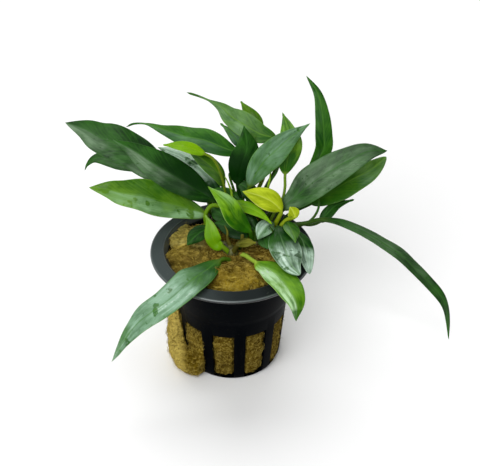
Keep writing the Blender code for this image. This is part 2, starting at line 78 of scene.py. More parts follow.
class Sock:
    def __init__(self, paint, out):
        self.paint, self.out = paint, out

    def calc(self, operation, *values):
        return self.paint.add("Math", {"operation": operation}, dict(enumerate(values)))

    def __add__(self, other):
        return self.calc("ADD", self, other)

    def __radd__(self, other):
        return self.calc("ADD", other, self)

    def __sub__(self, other):
        return self.calc("SUBTRACT", self, other)

    def __rsub__(self, other):
        return self.calc("SUBTRACT", other, self)

    def __mul__(self, other):
        return self.calc("MULTIPLY", self, other)

    def __rmul__(self, other):
        return self.calc("MULTIPLY", other, self)

    def __pow__(self, other):
        return self.calc("POWER", self, other)

    def absolute(self):
        return self.calc("ABSOLUTE", self)


class Paint:
    def __init__(self, name):
        self.material = bpy.data.materials.new(name)
        self.material.use_nodes = True
        self.tree = self.material.node_tree
        self.shader = self.tree.nodes["Principled BSDF"]

    def feed(self, socket, value):
        if isinstance(value, Sock):
            self.tree.links.new(value.out, socket)
        elif isinstance(value, (tuple, list)) and socket.type == "RGBA" and len(value) == 3:
            socket.default_value = (*value, 1)
        else:
            socket.default_value = value

    def add(self, kind, settings=None, inputs=None, out=0):
        node = self.tree.nodes.new("ShaderNode" + kind)
        for name, value in (settings or {}).items():
            setattr(node, name, value)
        for name, value in (inputs or {}).items():
            self.feed(node.inputs[name], value)
        return Sock(self, node.outputs[out])

    def mix(self, factor, a, b):
        return self.add("Mix", {"data_type": "RGBA"}, {0: factor, 6: a, 7: b}, 2)

    def cover(self, colour, *layers):
        # Each layer is a share and the colour of which so much is mixed in
        for share, layer in layers:
            colour = self.mix(share, colour, layer)
        return colour

    def place(self):
        return self.add("TexCoord", out=3)  # Object coordinates

    def split(self, vector):
        node = self.add("SeparateXYZ", {}, {0: vector}).out.node
        return [Sock(self, out) for out in node.outputs]

    def join(self, *parts):
        return self.add("CombineXYZ", {}, dict(enumerate(parts)))

    def mark(self, label):
        # The three values that bendTube stored on the mesh under this name
        return self.split(self.add("Attribute", {"attribute_name": label}, out=1))

    def noise(self, scale, detail=3, where=None, rough=0.5):
        return self.add("TexNoise", {}, {"Vector": where or self.place(), "Scale": scale,
                                         "Detail": detail, "Roughness": rough})

    def step(self, value, low, high):
        return self.add("MapRange", {"interpolation_type": "SMOOTHSTEP"},
                        {"Value": value, "From Min": low, "From Max": high})

    def bump(self, height, distance, strength):
        return self.add("Bump", {}, {"Height": height, "Distance": distance, "Strength": strength})

    def finish(self, colour, rough, **others):
        values = {"Base Color": colour, "Roughness": rough, **others}
        for name, value in values.items():
            self.feed(self.shader.inputs[name], value)
        return self.material


# Mesh helpers

def deselect():
    if bpy.context.object and bpy.context.object.mode != "OBJECT":
        bpy.ops.object.mode_set(mode="OBJECT")
    bpy.ops.object.select_all(action="DESELECT")


def activate(obj):
    deselect()
    obj.select_set(True)
    bpy.context.view_layer.objects.active = obj


def editAll(obj, *steps):
    # Runs each step, a mesh operation with its settings, on the whole mesh
    activate(obj)
    bpy.ops.object.mode_set(mode="EDIT")
    bpy.ops.mesh.select_all(action="SELECT")
    for operation, settings in steps:
        operation(**settings)
    bpy.ops.object.mode_set(mode="OBJECT")


turnOutwards = (bpy.ops.mesh.normals_make_consistent, {"inside": False})


def tidyMesh(obj, merge=1e-6):
    # Doubles are merged, then the faces are turned outwards
    editAll(obj, (bpy.ops.mesh.remove_doubles, {"threshold": merge}), turnOutwards)
    bpy.ops.object.shade_smooth()


def modify(obj, *steps):
    # Adds and applies modifiers, each a kind with its settings
    for kind, settings in steps:
        modifier = obj.modifiers.new(kind.lower(), kind)
        for name, value in settings.items():
            setattr(modifier, name, value)
    activate(obj)
    for modifier in list(obj.modifiers):
        bpy.ops.object.modifier_apply(modifier=modifier.name)


def joinAll(parts):
    activate(parts[0])
    for part in parts:
        part.select_set(True)
    if len(parts) > 1:
        bpy.ops.object.join()
    return bpy.context.object


def newObject(name, mesh):
    obj = bpy.data.objects.new(name, mesh)
    bpy.context.scene.collection.objects.link(obj)
    return obj


def readVectors(mesh, what):
    values = np.empty(len(mesh.vertices) * 3)
    mesh.vertices.foreach_get(what, values)
    return values.reshape(-1, 3)


def dress(obj, material, slot, *nodes):
    obj.data.materials.clear()
    obj.data.materials.append(material)
    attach(obj, "root")
    if nodes:
        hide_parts(*nodes)


# Curves, and tubes that are bent along them

pathSamples = 24  # places on the smoothed curve for each stretch of a path


def smoothPath(points):
    # A Catmull-Rom curve through the points, finely sampled, with the distance along it
    p = np.array(points, float)
    ends = np.vstack([2 * p[0] - p[1], p, 2 * p[-1] - p[-2]])
    t = np.linspace(0, 1, pathSamples, endpoint=False)[:, None]
    runs = []
    for a, b, c, d in zip(ends, ends[1:], ends[2:], ends[3:]):
        runs.append(0.5 * (2 * b + (c - a) * t + (2 * a - 5 * b + 4 * c - d) * t ** 2
                           + (3 * b - a - 3 * c + d) * t ** 3))
    curve = np.vstack(runs + [p[-1:]])
    along = np.concatenate([[0], np.cumsum(np.linalg.norm(np.diff(curve, axis=0), axis=1))])
    return curve, along


def atDistance(curve, along, distance):
    return np.stack([np.interp(distance, along, curve[:, k]) for k in range(3)], -1)


def unit(v):
    return v / np.linalg.norm(v, axis=-1, keepdims=True)


def makeTube(sides, rings):
    # An open cylinder whose long edges are cut into rings: every leaf and stem starts as a copy of it
    deselect()
    bpy.ops.mesh.primitive_cylinder_add(vertices=sides, radius=1, depth=1, end_fill_type="NOTHING")
    obj = bpy.context.object
    bpy.ops.object.mode_set(mode="EDIT")
    bpy.ops.mesh.select_mode(type="EDGE")
    bpy.ops.mesh.select_all(action="DESELECT")
    bpy.ops.object.mode_set(mode="OBJECT")
    mesh = obj.data
    for edge in mesh.edges:
        low, high = [mesh.vertices[v].co.z for v in edge.vertices]
        edge.select = abs(low - high) > 0.5
    bpy.ops.object.mode_set(mode="EDIT")
    bpy.ops.mesh.subdivide(number_cuts=rings - 2)
    bpy.ops.object.mode_set(mode="OBJECT")
    bpy.data.objects.remove(obj)
    x, y, z = readVectors(mesh, "co").T
    ring = np.rint((z + 0.5) * (rings - 1)).astype(int)
    side = np.rint(np.arctan2(y, x) / (2 * np.pi) * sides).astype(int) % sides
    angles = np.arange(sides) * 2 * np.pi / sides
    return {"mesh": mesh, "ring": ring, "side": side, "rings": rings, "angles": angles}


def bendTube(name, tube, points, marks=None):
    # points[ring, side] in millimetres; marks are named values for each of them
    mesh = tube["mesh"].copy()
    mesh.name = name
    mesh.vertices.foreach_set("co", (points[tube["ring"], tube["side"]] * mm).ravel())
    for label, values in (marks or {}).items():
        layer = mesh.attributes.new(label, "FLOAT_VECTOR", "POINT")
        layer.data.foreach_set("vector", values[tube["ring"], tube["side"]].ravel())
    obj = newObject(name, mesh)
    tidyMesh(obj)
    return obj


def sweep(middle, side, up, across, through):
    # Points round the middle line: across is how far they lie to its side, and through how far upwards
    return middle[:, None] + across[..., None] * side[:, None] + through[..., None] * up[:, None]


def stemLine(path, facing):
    # Even places along the path, and the ways to its side and upwards at each of them
    curve, along = smoothPath(path)
    t = np.linspace(0, 1, stemTube["rings"])
    middle = atDistance(curve, along, t * along[-1])
    ahead = unit(np.gradient(middle, axis=0))
    side = unit(np.cross(np.array(facing, float), ahead))
    return t, middle, side, np.cross(ahead, side)


leafTube = makeTube(sides=40, rings=84)
stemTube = makeTube(sides=16, rings=40)
print("tubes ready")


# Net pot

pot = {
    "height": 45.5,
    "wall": 1.2,
    "rimInner": 22.8, "rimOuter": 27.5,  # radii
    "rimDrop": 0.9,  # how far the rim slopes down to its outer edge
    # the rim's face, rounded edge and inside, each from the rim's inner or outer corner, out and up
    "rimFace": [(0.45, 0), (1.0, -0.06)],
    "rimEdge": [(-0.7, 0.22), (-0.3, 0.08), (-0.06, -0.18), (0, -0.45), (-0.08, -0.75), (-0.35, -1.1)],
    "rimInside": [(-0.02, -0.6), (0.1, -0.2)],
    # radius and height of the rim's underside and the wall's outer face, from the top down
    "outside": [(24.2, 43.62), (23.3, 43.52), (22.9, 43.2), (20.3, 29.7), (20.05, 29.1), (19.5, 27.5),
                (19.25, 26.8), (18.7, 21.5), (17.1, 3.0), (16.7, 1.6), (16.3, 0.7), (15.9, 0.2), (15.4, 0.0)],
    # the same wall with plain corners, from the bottom up
    "heights": (0.0, 1.0, 3.0, 21.5, 27.0, 29.5, 43.5),
    "radii": (15.4, 16.4, 17.1, 18.7, 19.3, 20.2, 22.9),
    "floorCorner": 0.8,  # width of the slanted corner between the floor and the wall, inside
    "ribs": 10, "ribAngle": 12.2, "firstRib": 8.5,  # angles in degrees
    "slotHeights": (0.6, 21.5), "slotReach": (14, 34),  # the heights and radii between which they are cut
    "drain": (5.0, 12.0, 2.6, 6),  # each cut in the floor: its inner and outer radius, width and height
    "turns": 160,  # steps round the pot
    "bevel": 0.25,
    "plastic": (0.0003, 0.0008, 0.0016),
    "topSheen": (0.050, 0.062, 0.060),  # painted reflection of the light above, on what lies level at the top
    "dust": (0.22, 0.22, 0.19),
    "edgeHighlight": (0.10, 0.118, 0.115),  # a painted highlight on the rim's rounded edge
}


def wallRadius(z):
    return float(np.interp(z, pot["heights"], pot["radii"]))


def potProfile():
    wall, height = pot["wall"], pot["height"]

    def fromCorner(radius, z, steps):
        return [(radius + out, z + up) for out, up in steps]

    inside = [(radius - wall, z) for z, radius in zip(pot["heights"], pot["radii"])][2:]
    return [*fromCorner(pot["rimInner"], height, pot["rimFace"]),
            *fromCorner(pot["rimOuter"], height - pot["rimDrop"], pot["rimEdge"]),
            *pot["outside"], (0, 0), (0, wall), (inside[0][0] - pot["floorCorner"], wall), *inside,
            *fromCorner(pot["rimInner"], height, pot["rimInside"])]


def cutterBlock(corner):
    # A cube with each of its corners moved to where corner() says
    deselect()
    bpy.ops.mesh.primitive_cube_add(size=1)
    block = bpy.context.object
    for v in block.data.vertices:
        x, y, z = corner(*v.co)
        v.co = (x * mm, y * mm, z * mm)
    return block


def slotBlock(middle, halfSlot):
    near, far = pot["slotReach"]
    low, high = pot["slotHeights"]

    def corner(x, y, z):
        radius = far if y < 0 else near
        turn = middle + (halfSlot if x > 0 else -halfSlot)
        return radius * math.sin(turn), -radius * math.cos(turn), high if z > 0 else low

    return cutterBlock(corner)


def drainBlock(middle):
    near, far, width, depth = pot["drain"]

    def corner(x, y, z):
        x, y = x * width, -(near if y > 0 else far)
        return (x * math.cos(middle) - y * math.sin(middle), x * math.sin(middle) + y * math.cos(middle),
                z * depth)

    return cutterBlock(corner)


def makePot():
    profile = potProfile()
    count = len(profile)
    pairs = [(k, (k + 1) % count) for k in range(count)]
    edges = [(a, b) for a, b in pairs if profile[a][0] or profile[b][0]]
    mesh = bpy.data.meshes.new("netPot")
    mesh.from_pydata([(r * mm, 0, z * mm) for r, z in profile], edges, [])
    obj = newObject("pot", mesh)
    modify(obj, ("SCREW", {"steps": pot["turns"], "render_steps": pot["turns"],
                           "use_merge_vertices": True, "merge_threshold": 0.00001}))
    tidyMesh(obj, merge=1e-5)

    # Slots between the ribs and drains in the floor, cut in one go
    pitch = 2 * math.pi / pot["ribs"]
    halfSlot = (pitch - math.radians(pot["ribAngle"])) / 2
    cutters = []
    for index in range(pot["ribs"]):
        middle = math.radians(pot["firstRib"]) + (index + 0.5) * pitch
        cutters += [slotBlock(middle, halfSlot), drainBlock(middle)]
    cutter = joinAll(cutters)
    editAll(cutter, turnOutwards)
    modify(obj, ("BOOLEAN", {"operation": "DIFFERENCE", "object": cutter}))
    bpy.data.objects.remove(cutter)
    modify(obj, ("BEVEL", {"width": pot["bevel"] * mm, "segments": 2, "limit_method": "ANGLE",
                           "angle_limit": math.radians(50)}))
    bpy.ops.object.shade_smooth_by_angle(angle=math.radians(35))
    return obj


def potPaint():
    p = Paint("black pot plastic")
    x, _, height = p.split(p.place())
    facing = p.split(p.add("NewGeometry", out=1))[2]
    grain = p.noise(2600, 3)
    dust = p.step(p.noise(1500, 2, rough=0.7), 0.64, 0.72) * p.step(p.noise(130, 2), 0.42, 0.62)
    up = p.step(facing, 0.3, 0.9) * p.step(height, 0.040, 0.044)
    leftLight = p.step(x, 0.004, -0.022) * (0.6 + p.noise(240, 3) * 0.8)  # painted light: the rim's top is paler towards the left, where more light falls
    rounded = p.step(height, 0.0430, 0.0437) * (1 - p.step(facing, 0.80, 0.97))
    # A painted reflection on what lies level at the top, paler towards the left as painted light, dust
    # specks, and a painted highlight on the rounded edge
    colour = p.cover(pot["plastic"], (up * (0.30 + leftLight * 0.95), pot["topSheen"]),
                     (dust * (0.05 + up * 0.35), pot["dust"]),
                     (rounded * p.step(facing, 0.1, 0.6), pot["edgeHighlight"]))
    return p.finish(colour, 0.36 + grain * 0.12 + up * 0.10, **{
        "Specular IOR Level": 0.011, "Coat Weight": rounded * 0.9, "Coat Roughness": 0.22,
        "Normal": p.bump(grain, 0.00003, 0.6)})


potPiece = makePot()
dress(potPiece, potPaint(), "pot", "net_pot")
print("pot made:", len(potPiece.data.polygons), "faces")


# Mineral wool: the solids' forms, grown together in one fine skin and torn up

wool = {
    "voxel": 0.42,  # size of the skin's mesh
    "tear": 0.75,  # how far the broad tears move the skin
    "mat": (19.7, 44.1, 6),  # radius, top and depth of the mat that the lumps stand in
    "bulge": (-62, -29, 0.8, 21.3),  # between which angles and heights the wool swells out at the left,
    "bulgeDepth": 1.1,  # and how far
    "clear": 0.2,  # how far it stays above the floor
    "side": ((0.040, 0.024, 0.001), (0.150, 0.098, 0.005)),  # dark and light patches in the slots, painted darker than the top as shade
    "top": ((0.09, 0.054, 0.003), (0.30, 0.215, 0.018)),
    # painted light on the rear left lump
    "rearLeftLight": ((0.34, 0.29, 0.07), (0.62, 0.56, 0.19)),
    "leftFrontDark": (0.10, 0.075, 0.016),
    # painted shade round the stems, under the leaves
    "middle": (0.075, 0.05, 0.006),
    "strand": (0.50, 0.38, 0.075),
    "furrow": (0.045, 0.027, 0.003),
    "stain": (0.07, 0.037, 0.005),
    "shade": (0.06, 0.038, 0.002),  # in the slots, but for the left ones
    "fold": (0.66, 0.51, 0.12),  # what hangs out at the left
    "crumb": (0.56, 0.42, 0.10),
    "pit": (0.040, 0.021, 0.002),
}
woolPieces = {  # their nodes, and how far they swell, fray and lean in to the pot
    "wool_block": {"nodes": ("wool_body", "wool_lump_rear_left", "wool_lump_left", "wool_lump_front",
                             "wool_lump_right"), "grow": 0.65, "fray": 0.12, "lean": 0},
    "wool_hanging": {"nodes": ("wool_fold",), "grow": 0.35, "fray": 0.38, "lean": 0.55},
}


def tearDepth(x, y, z, fray):
    # The top is torn deeper than what shows in the slots, and drawn in at its left
    top = min(max((z - 40) / 2, 0), 1)
    broad = noise.noise((x * 0.15 + 3, y * 0.15, z * 0.3 + 7))
    broad = broad - top * 0.25 * max(min((-x - 15) / 3, 1), 0)
    swirl = noise.noise((x * 0.09 - 5, y * 0.09, 2))
    strand = noise.noise((x * 0.16 + broad * 3, (y + 7 * swirl) * 0.55, z * 0.45))
    ridge = 1 - abs(noise.noise((x * 0.24 + 2 * swirl, y * 0.36 + 2 * broad, z * 0.4 + 3))) * 2
    fine = noise.noise((x * 1.3, y * 2.3 + 3 * broad, z * 2.0))
    tear = wool["tear"] * (0.4 + top)
    depth = broad * tear + (abs(strand) - 0.22) * tear * 1.4 + (max(ridge, 0) ** 3 - 0.3) * tear * 0.7
    return depth + fine * fray


def bulgeDepth(x, y, z, normal):
    first, last, low, high = wool["bulge"]
    turn = math.degrees(math.atan2(x, -y))
    if not (first < turn < last and low < z < high and normal[2] ** 2 < 0.5):
        return 0
    swell = math.sin(math.pi * (turn - first) / (last - first))
    swell = swell * math.sin(math.pi * (z - low) / (high - low))
    return wool["bulgeDepth"] * swell ** 0.4


def tornSkin(name, piece):
    parts = []
    for node in piece["nodes"]:
        part = newObject(name, bpy.data.objects[node].data.copy())
        tidyMesh(part, merge=1e-5)
        if node != "wool_body":  # the body keeps its size, and the lumps swell to meet it
            editAll(part, (bpy.ops.transform.shrink_fatten, {"value": piece["grow"] * mm}))
        parts.append(part)
    if len(parts) > 1:
        radius, height, depth = wool["mat"]
        deselect()
        bpy.ops.mesh.primitive_cylinder_add(vertices=48, radius=radius * mm, depth=depth * mm,
                                            location=(0, 0, (height - depth / 2) * mm))
        parts.append(bpy.context.object)
    obj = joinAll(parts)
    obj.name = name
    modify(obj, ("REMESH", {"mode": "VOXEL", "voxel_size": wool["voxel"] * mm, "use_smooth_shade": True}),
           ("SMOOTH", {"factor": 0.5, "iterations": 3}))
    co, normals = readVectors(obj.data, "co"), readVectors(obj.data, "normal")
    move = np.empty(len(co))
    for k, (x, y, z) in enumerate(co / mm):
        move[k] = tearDepth(x, y, z, piece["fray"])
        if piece["lean"]:
            inward = -(x * normals[k][0] + y * normals[k][1]) / math.hypot(x, y)
            move[k] += piece["lean"] * min(max(inward, 0) * 2, 1)
        move[k] += bulgeDepth(x, y, z, normals[k])
    co += normals * (move * mm)[:, None]
    co[:, 2] = np.maximum(co[:, 2], wool["clear"] * mm)
    obj.data.vertices.foreach_set("co", co.ravel())
    obj.data.update()
    return obj


def woolPaint():
    p = Paint("mineral wool")
    where = p.place()
    x, y, height = p.split(where)
    top = p.step(height, 0.038, 0.043)
    warp = p.noise(60, 3, where=where)
    # Felted strands that run round and round: noise pulled out by a slow swirl
    swirl = p.add("VectorMath", {"operation": "MULTIPLY_ADD"},
                  {0: p.add("TexNoise", {}, {"Vector": where, "Scale": 110, "Detail": 2}, 1),
                   1: (0.009, 0.009, 0.009), 2: where})
    strands = p.noise(1.0, 4, rough=0.58, where=p.add("VectorMath", {"operation": "MULTIPLY"},
                                                      {0: swirl, 1: (150, 900, 500)}))
    fluff = p.noise(2300, 3, rough=0.6)
    crumbs = p.noise(1500, 3, rough=0.65)
    crumbly = 1 - top * 0.7
    patch = p.step(p.noise(95, 4, rough=0.6), 0.36, 0.66)

    # The top is painted darker round the stems, as shade under the leaves, and paler on the rear left lump,
    # as painted light; in front of that it is darker
    reach = (x * x + y * y) ** 0.5
    rearLeftLight = p.step(x, -0.007, -0.012) * p.step(y, 0.001, 0.003)
    leftFrontDark = p.step(x, -0.008, -0.011) * (1 - p.step(y, -0.001, 0.002))
    crown = p.cover(p.mix(patch, *wool["top"]),
                    (p.step(reach, 0.0185, 0.0105) * 0.65, wool["middle"]),
                    (rearLeftLight * 0.75, p.mix(patch, *wool["rearLeftLight"])),
                    (leftFrontDark * 0.7, wool["leftFrontDark"]))
    colour = p.cover(p.mix(top, p.mix(patch, *wool["side"]), crown),
                     (p.step(strands, 0.46, 0.74) * (0.55 + top * 0.15), wool["strand"]),
                     (p.step(strands, 0.46, 0.30) * (0.6 + top * 0.2), wool["furrow"]),
                     (p.step(warp, 0.58, 0.70) * 0.5, wool["stain"]),
                     (p.step(x, -0.012, -0.003) * (1 - top) * 0.55, wool["shade"]),
                     (p.step(x, -0.0150, -0.0185) * (1 - top) * 0.75, wool["fold"]),
                     (p.step(crumbs, 0.53, 0.68) * crumbly * 0.5, wool["crumb"]),
                     (p.step(crumbs, 0.46, 0.32) * crumbly * 0.8, wool["pit"]))
    bump = p.bump(strands * 0.6 + crumbs * 0.6 + fluff * 0.3, 0.00035, 0.8)
    return p.finish(colour, 0.78 + fluff * 0.2, **{"Normal": bump, "Specular IOR Level": 0.04})


woolMaterial = woolPaint()
skins = []
for name, piece in woolPieces.items():
    skin = tornSkin(name, piece)
    dress(skin, woolMaterial, "wool", *piece["nodes"])
    skins.append(skin)
print("wool torn:", [len(s.data.polygons) for s in skins], "faces")


# Loose fibres on the wool, fine as hair and bunched in small tufts

fibres = {
    "count": 5600,
    "radius": 0.034,
    "length": (1.2, 4.6),
    "rings": 6,
    "tuft": 7,  # how many lie much the same way,
    "stray": 0.45,  # and how far each turns from it
    "rise": (-0.1, 0.7),  # how far the middle stands off the wool
    "bend": (-0.4, 0.4),  # how far it bows sideways, per millimetre of length
    "clear": 0.1,  # how far each stays above the floor
    "top": (40.5, 21.5),  # above which height and inside which radius they lie on the wool's top
    "side": (22.5, 0.9),  # below which height, and how far inside the pot's wall, they lie on its side
    "colours": ((0.17, 0.115, 0.010), (0.50, 0.38, 0.08)),
}


def onShow(place, normal):
    # The wool's top inside the rim, and what bulges out through the slots and at the left side
    x, y, z = place
    reach = math.hypot(x, y)
    low, radius = fibres["top"]
    high, depth = fibres["side"]
    if z > low:
        return reach < radius and normal.z > 0.1
    return z < high and reach > wallRadius(z) - depth and abs(normal.z) < 0.8


def surfaceSpots():
    # Random points on what shows of the skins, with their normals
    spots = []
    faces = [(obj, face) for obj in skins for face in obj.data.polygons
             if onShow(face.center / mm, face.normal)]
    weights = [face.area for _, face in faces]
    for obj, face in dice.choices(faces, weights, k=fibres["count"]):
        corners = [obj.data.vertices[v].co for v in face.vertices]
        shares = [dice.random() for _ in corners]
        total = sum(shares)
        spot = sum((corner * (share / total) for corner, share in zip(corners, shares)), Vector())
        spots.append((spot / mm, face.normal.copy()))
    return spots


def makeFibres(name):
    rings, points, faces = fibres["rings"], [], []
    for number, (spot, normal) in enumerate(surfaceSpots()):
        if number % fibres["tuft"] == 0:
            common = Vector([dice.gauss(0, 1) for _ in range(3)])
        lean = common + Vector([dice.gauss(0, fibres["stray"]) for _ in range(3)])
        lean = (lean - normal * lean.dot(normal)).normalized()
        cross = normal.cross(lean)
        length = dice.uniform(*fibres["length"]) * dice.uniform(0.5, 1)
        rise = dice.uniform(*fibres["rise"])
        bend = dice.uniform(*fibres["bend"]) * length
        wiggle = dice.uniform(0, 6.28)
        first = len(points)
        for k in range(rings):
            t = k / (rings - 1)
            sway = bend * (4 * (t - 0.5) ** 2 - 0.5) + 0.08 * math.sin(7 * t + wiggle)
            lift = 0.03 + rise * math.sin(math.pi * t)
            at = spot + lean * ((t - 0.5) * length) + cross * sway + normal * lift
            radius = fibres["radius"] * (1.25 - 0.9 * abs(2 * t - 1) ** 2)
            for j in range(3):
                turn = j * 2 * math.pi / 3
                point = at + (normal * math.cos(turn) + cross * math.sin(turn)) * radius
                point.z = max(point.z, fibres["clear"] + radius * (0.5 + 0.5 * math.sin(turn)))
                points.append(point * mm)
        for k in range(rings - 1):
            for j in range(3):
                a, b = first + k * 3 + j, first + k * 3 + (j + 1) % 3
                faces.append((a, b, b + 3, a + 3))
        last = first + (rings - 1) * 3
        faces.append((first + 2, first + 1, first))
        faces.append((last, last + 1, last + 2))
    mesh = bpy.data.meshes.new(name)
    mesh.from_pydata(points, [], faces)
    obj = newObject(name, mesh)
    tidyMesh(obj, merge=1e-8)
    return obj


def fibrePaint():
    p = Paint("mineral wool fibres")
    colour = p.mix(p.step(p.noise(700, 2), 0.4, 0.6), *fibres["colours"])
    return p.finish(colour, 0.6, **{"Specular IOR Level": 0.08})


dress(makeFibres("wool_fibres"), fibrePaint(), "wool")
print("fibres laid")


# Creeping stems, ringed where old leaves sat

stems = {  # path and radius
    "rhizome_left": ([(-8.5, 10.5, 44.2), (-7, 14, 44.2), (-3, 17.5, 44.5)], 2.3),
    "rhizome_rear": ([(0, 13, 44.1), (3, 17, 44.1), (8, 18, 44.5)], 2.3),
    "rhizome_right": ([(7, 3, 44.2), (12, 8, 44.2), (16, 11.5, 44.6)], 2.4),
    "rhizome_front": ([(-5, 4, 44.1), (-2, 1, 44.1), (1.5, -3, 44.3)], 2.3),
}
barkColours = ((0.035, 0.030, 0.008), (0.12, 0.13, 0.03))


def makeStem(name, path, radius):
    t, middle, side, up = stemLine(path, (0, 0, 1))
    angle = stemTube["angles"]
    size = radius * np.sqrt(np.clip(1 - np.abs(2 * t - 1) ** 4, 0, 1))
    rings = 1 + 0.06 * np.sin(t * 44) ** 3 - 0.05
    bumps = 0.08 * np.sin(angle * 3 + t[:, None] * 9) + 0.05 * np.sin(angle * 5 - t[:, None] * 17)
    reach = (size * rings)[:, None] * (1 + bumps)
    points = sweep(middle, side, up, reach * np.cos(angle), reach * np.sin(angle))
    points[0], points[-1] = middle[0], middle[-1]
    return bendTube(name, stemTube, points)


def stemPaint():
    p = Paint("rhizome bark")
    bark = p.noise(600, 4)
    colour = p.mix(p.step(bark, 0.35, 0.65), *barkColours)
    return p.finish(colour, 0.5, Normal=p.bump(bark, 0.0002, 0.6))


stemMaterial = stemPaint()
for name, (path, radius) in stems.items():
    dress(makeStem(name + "_stem", path, radius), stemMaterial, "rhizome", name)
print("rhizomes made")


# Leaves. A path holds the points that the stalk and the midrib pass through, half is the blade's
# half width, and faces are the ways its upper side looks at the base and at the tip. What a leaf
# doesn't say is as usual.

leafUsual = {
    "stalk": 1,  # how many stretches of the path are stalk
    "widest": 0.5,  # where along the blade it is widest
    "tip": 0.9,  # how drawn out its tip is
    "fold": 8,  # how far each half folds up, in degrees
    "wave": 0.1,  # how strongly the edges wave
    "look": "dark",  # one of the looks below
    # How much painted sheen, a pale reflection of the light, covers the two halves, from where along
    # the blade, and what share of it is left at the tip
    "sheen": (0, 0, 0.05),
    # How much painted shade darkens the two halves at the base, up to where, and how much of it the tip gets
    "paintedShade": (0, 0, 1),
    "stalkSize": 1,  # how thick the stalk is, against the others
    "alone": False,  # True for an inner leaf without a solid
}

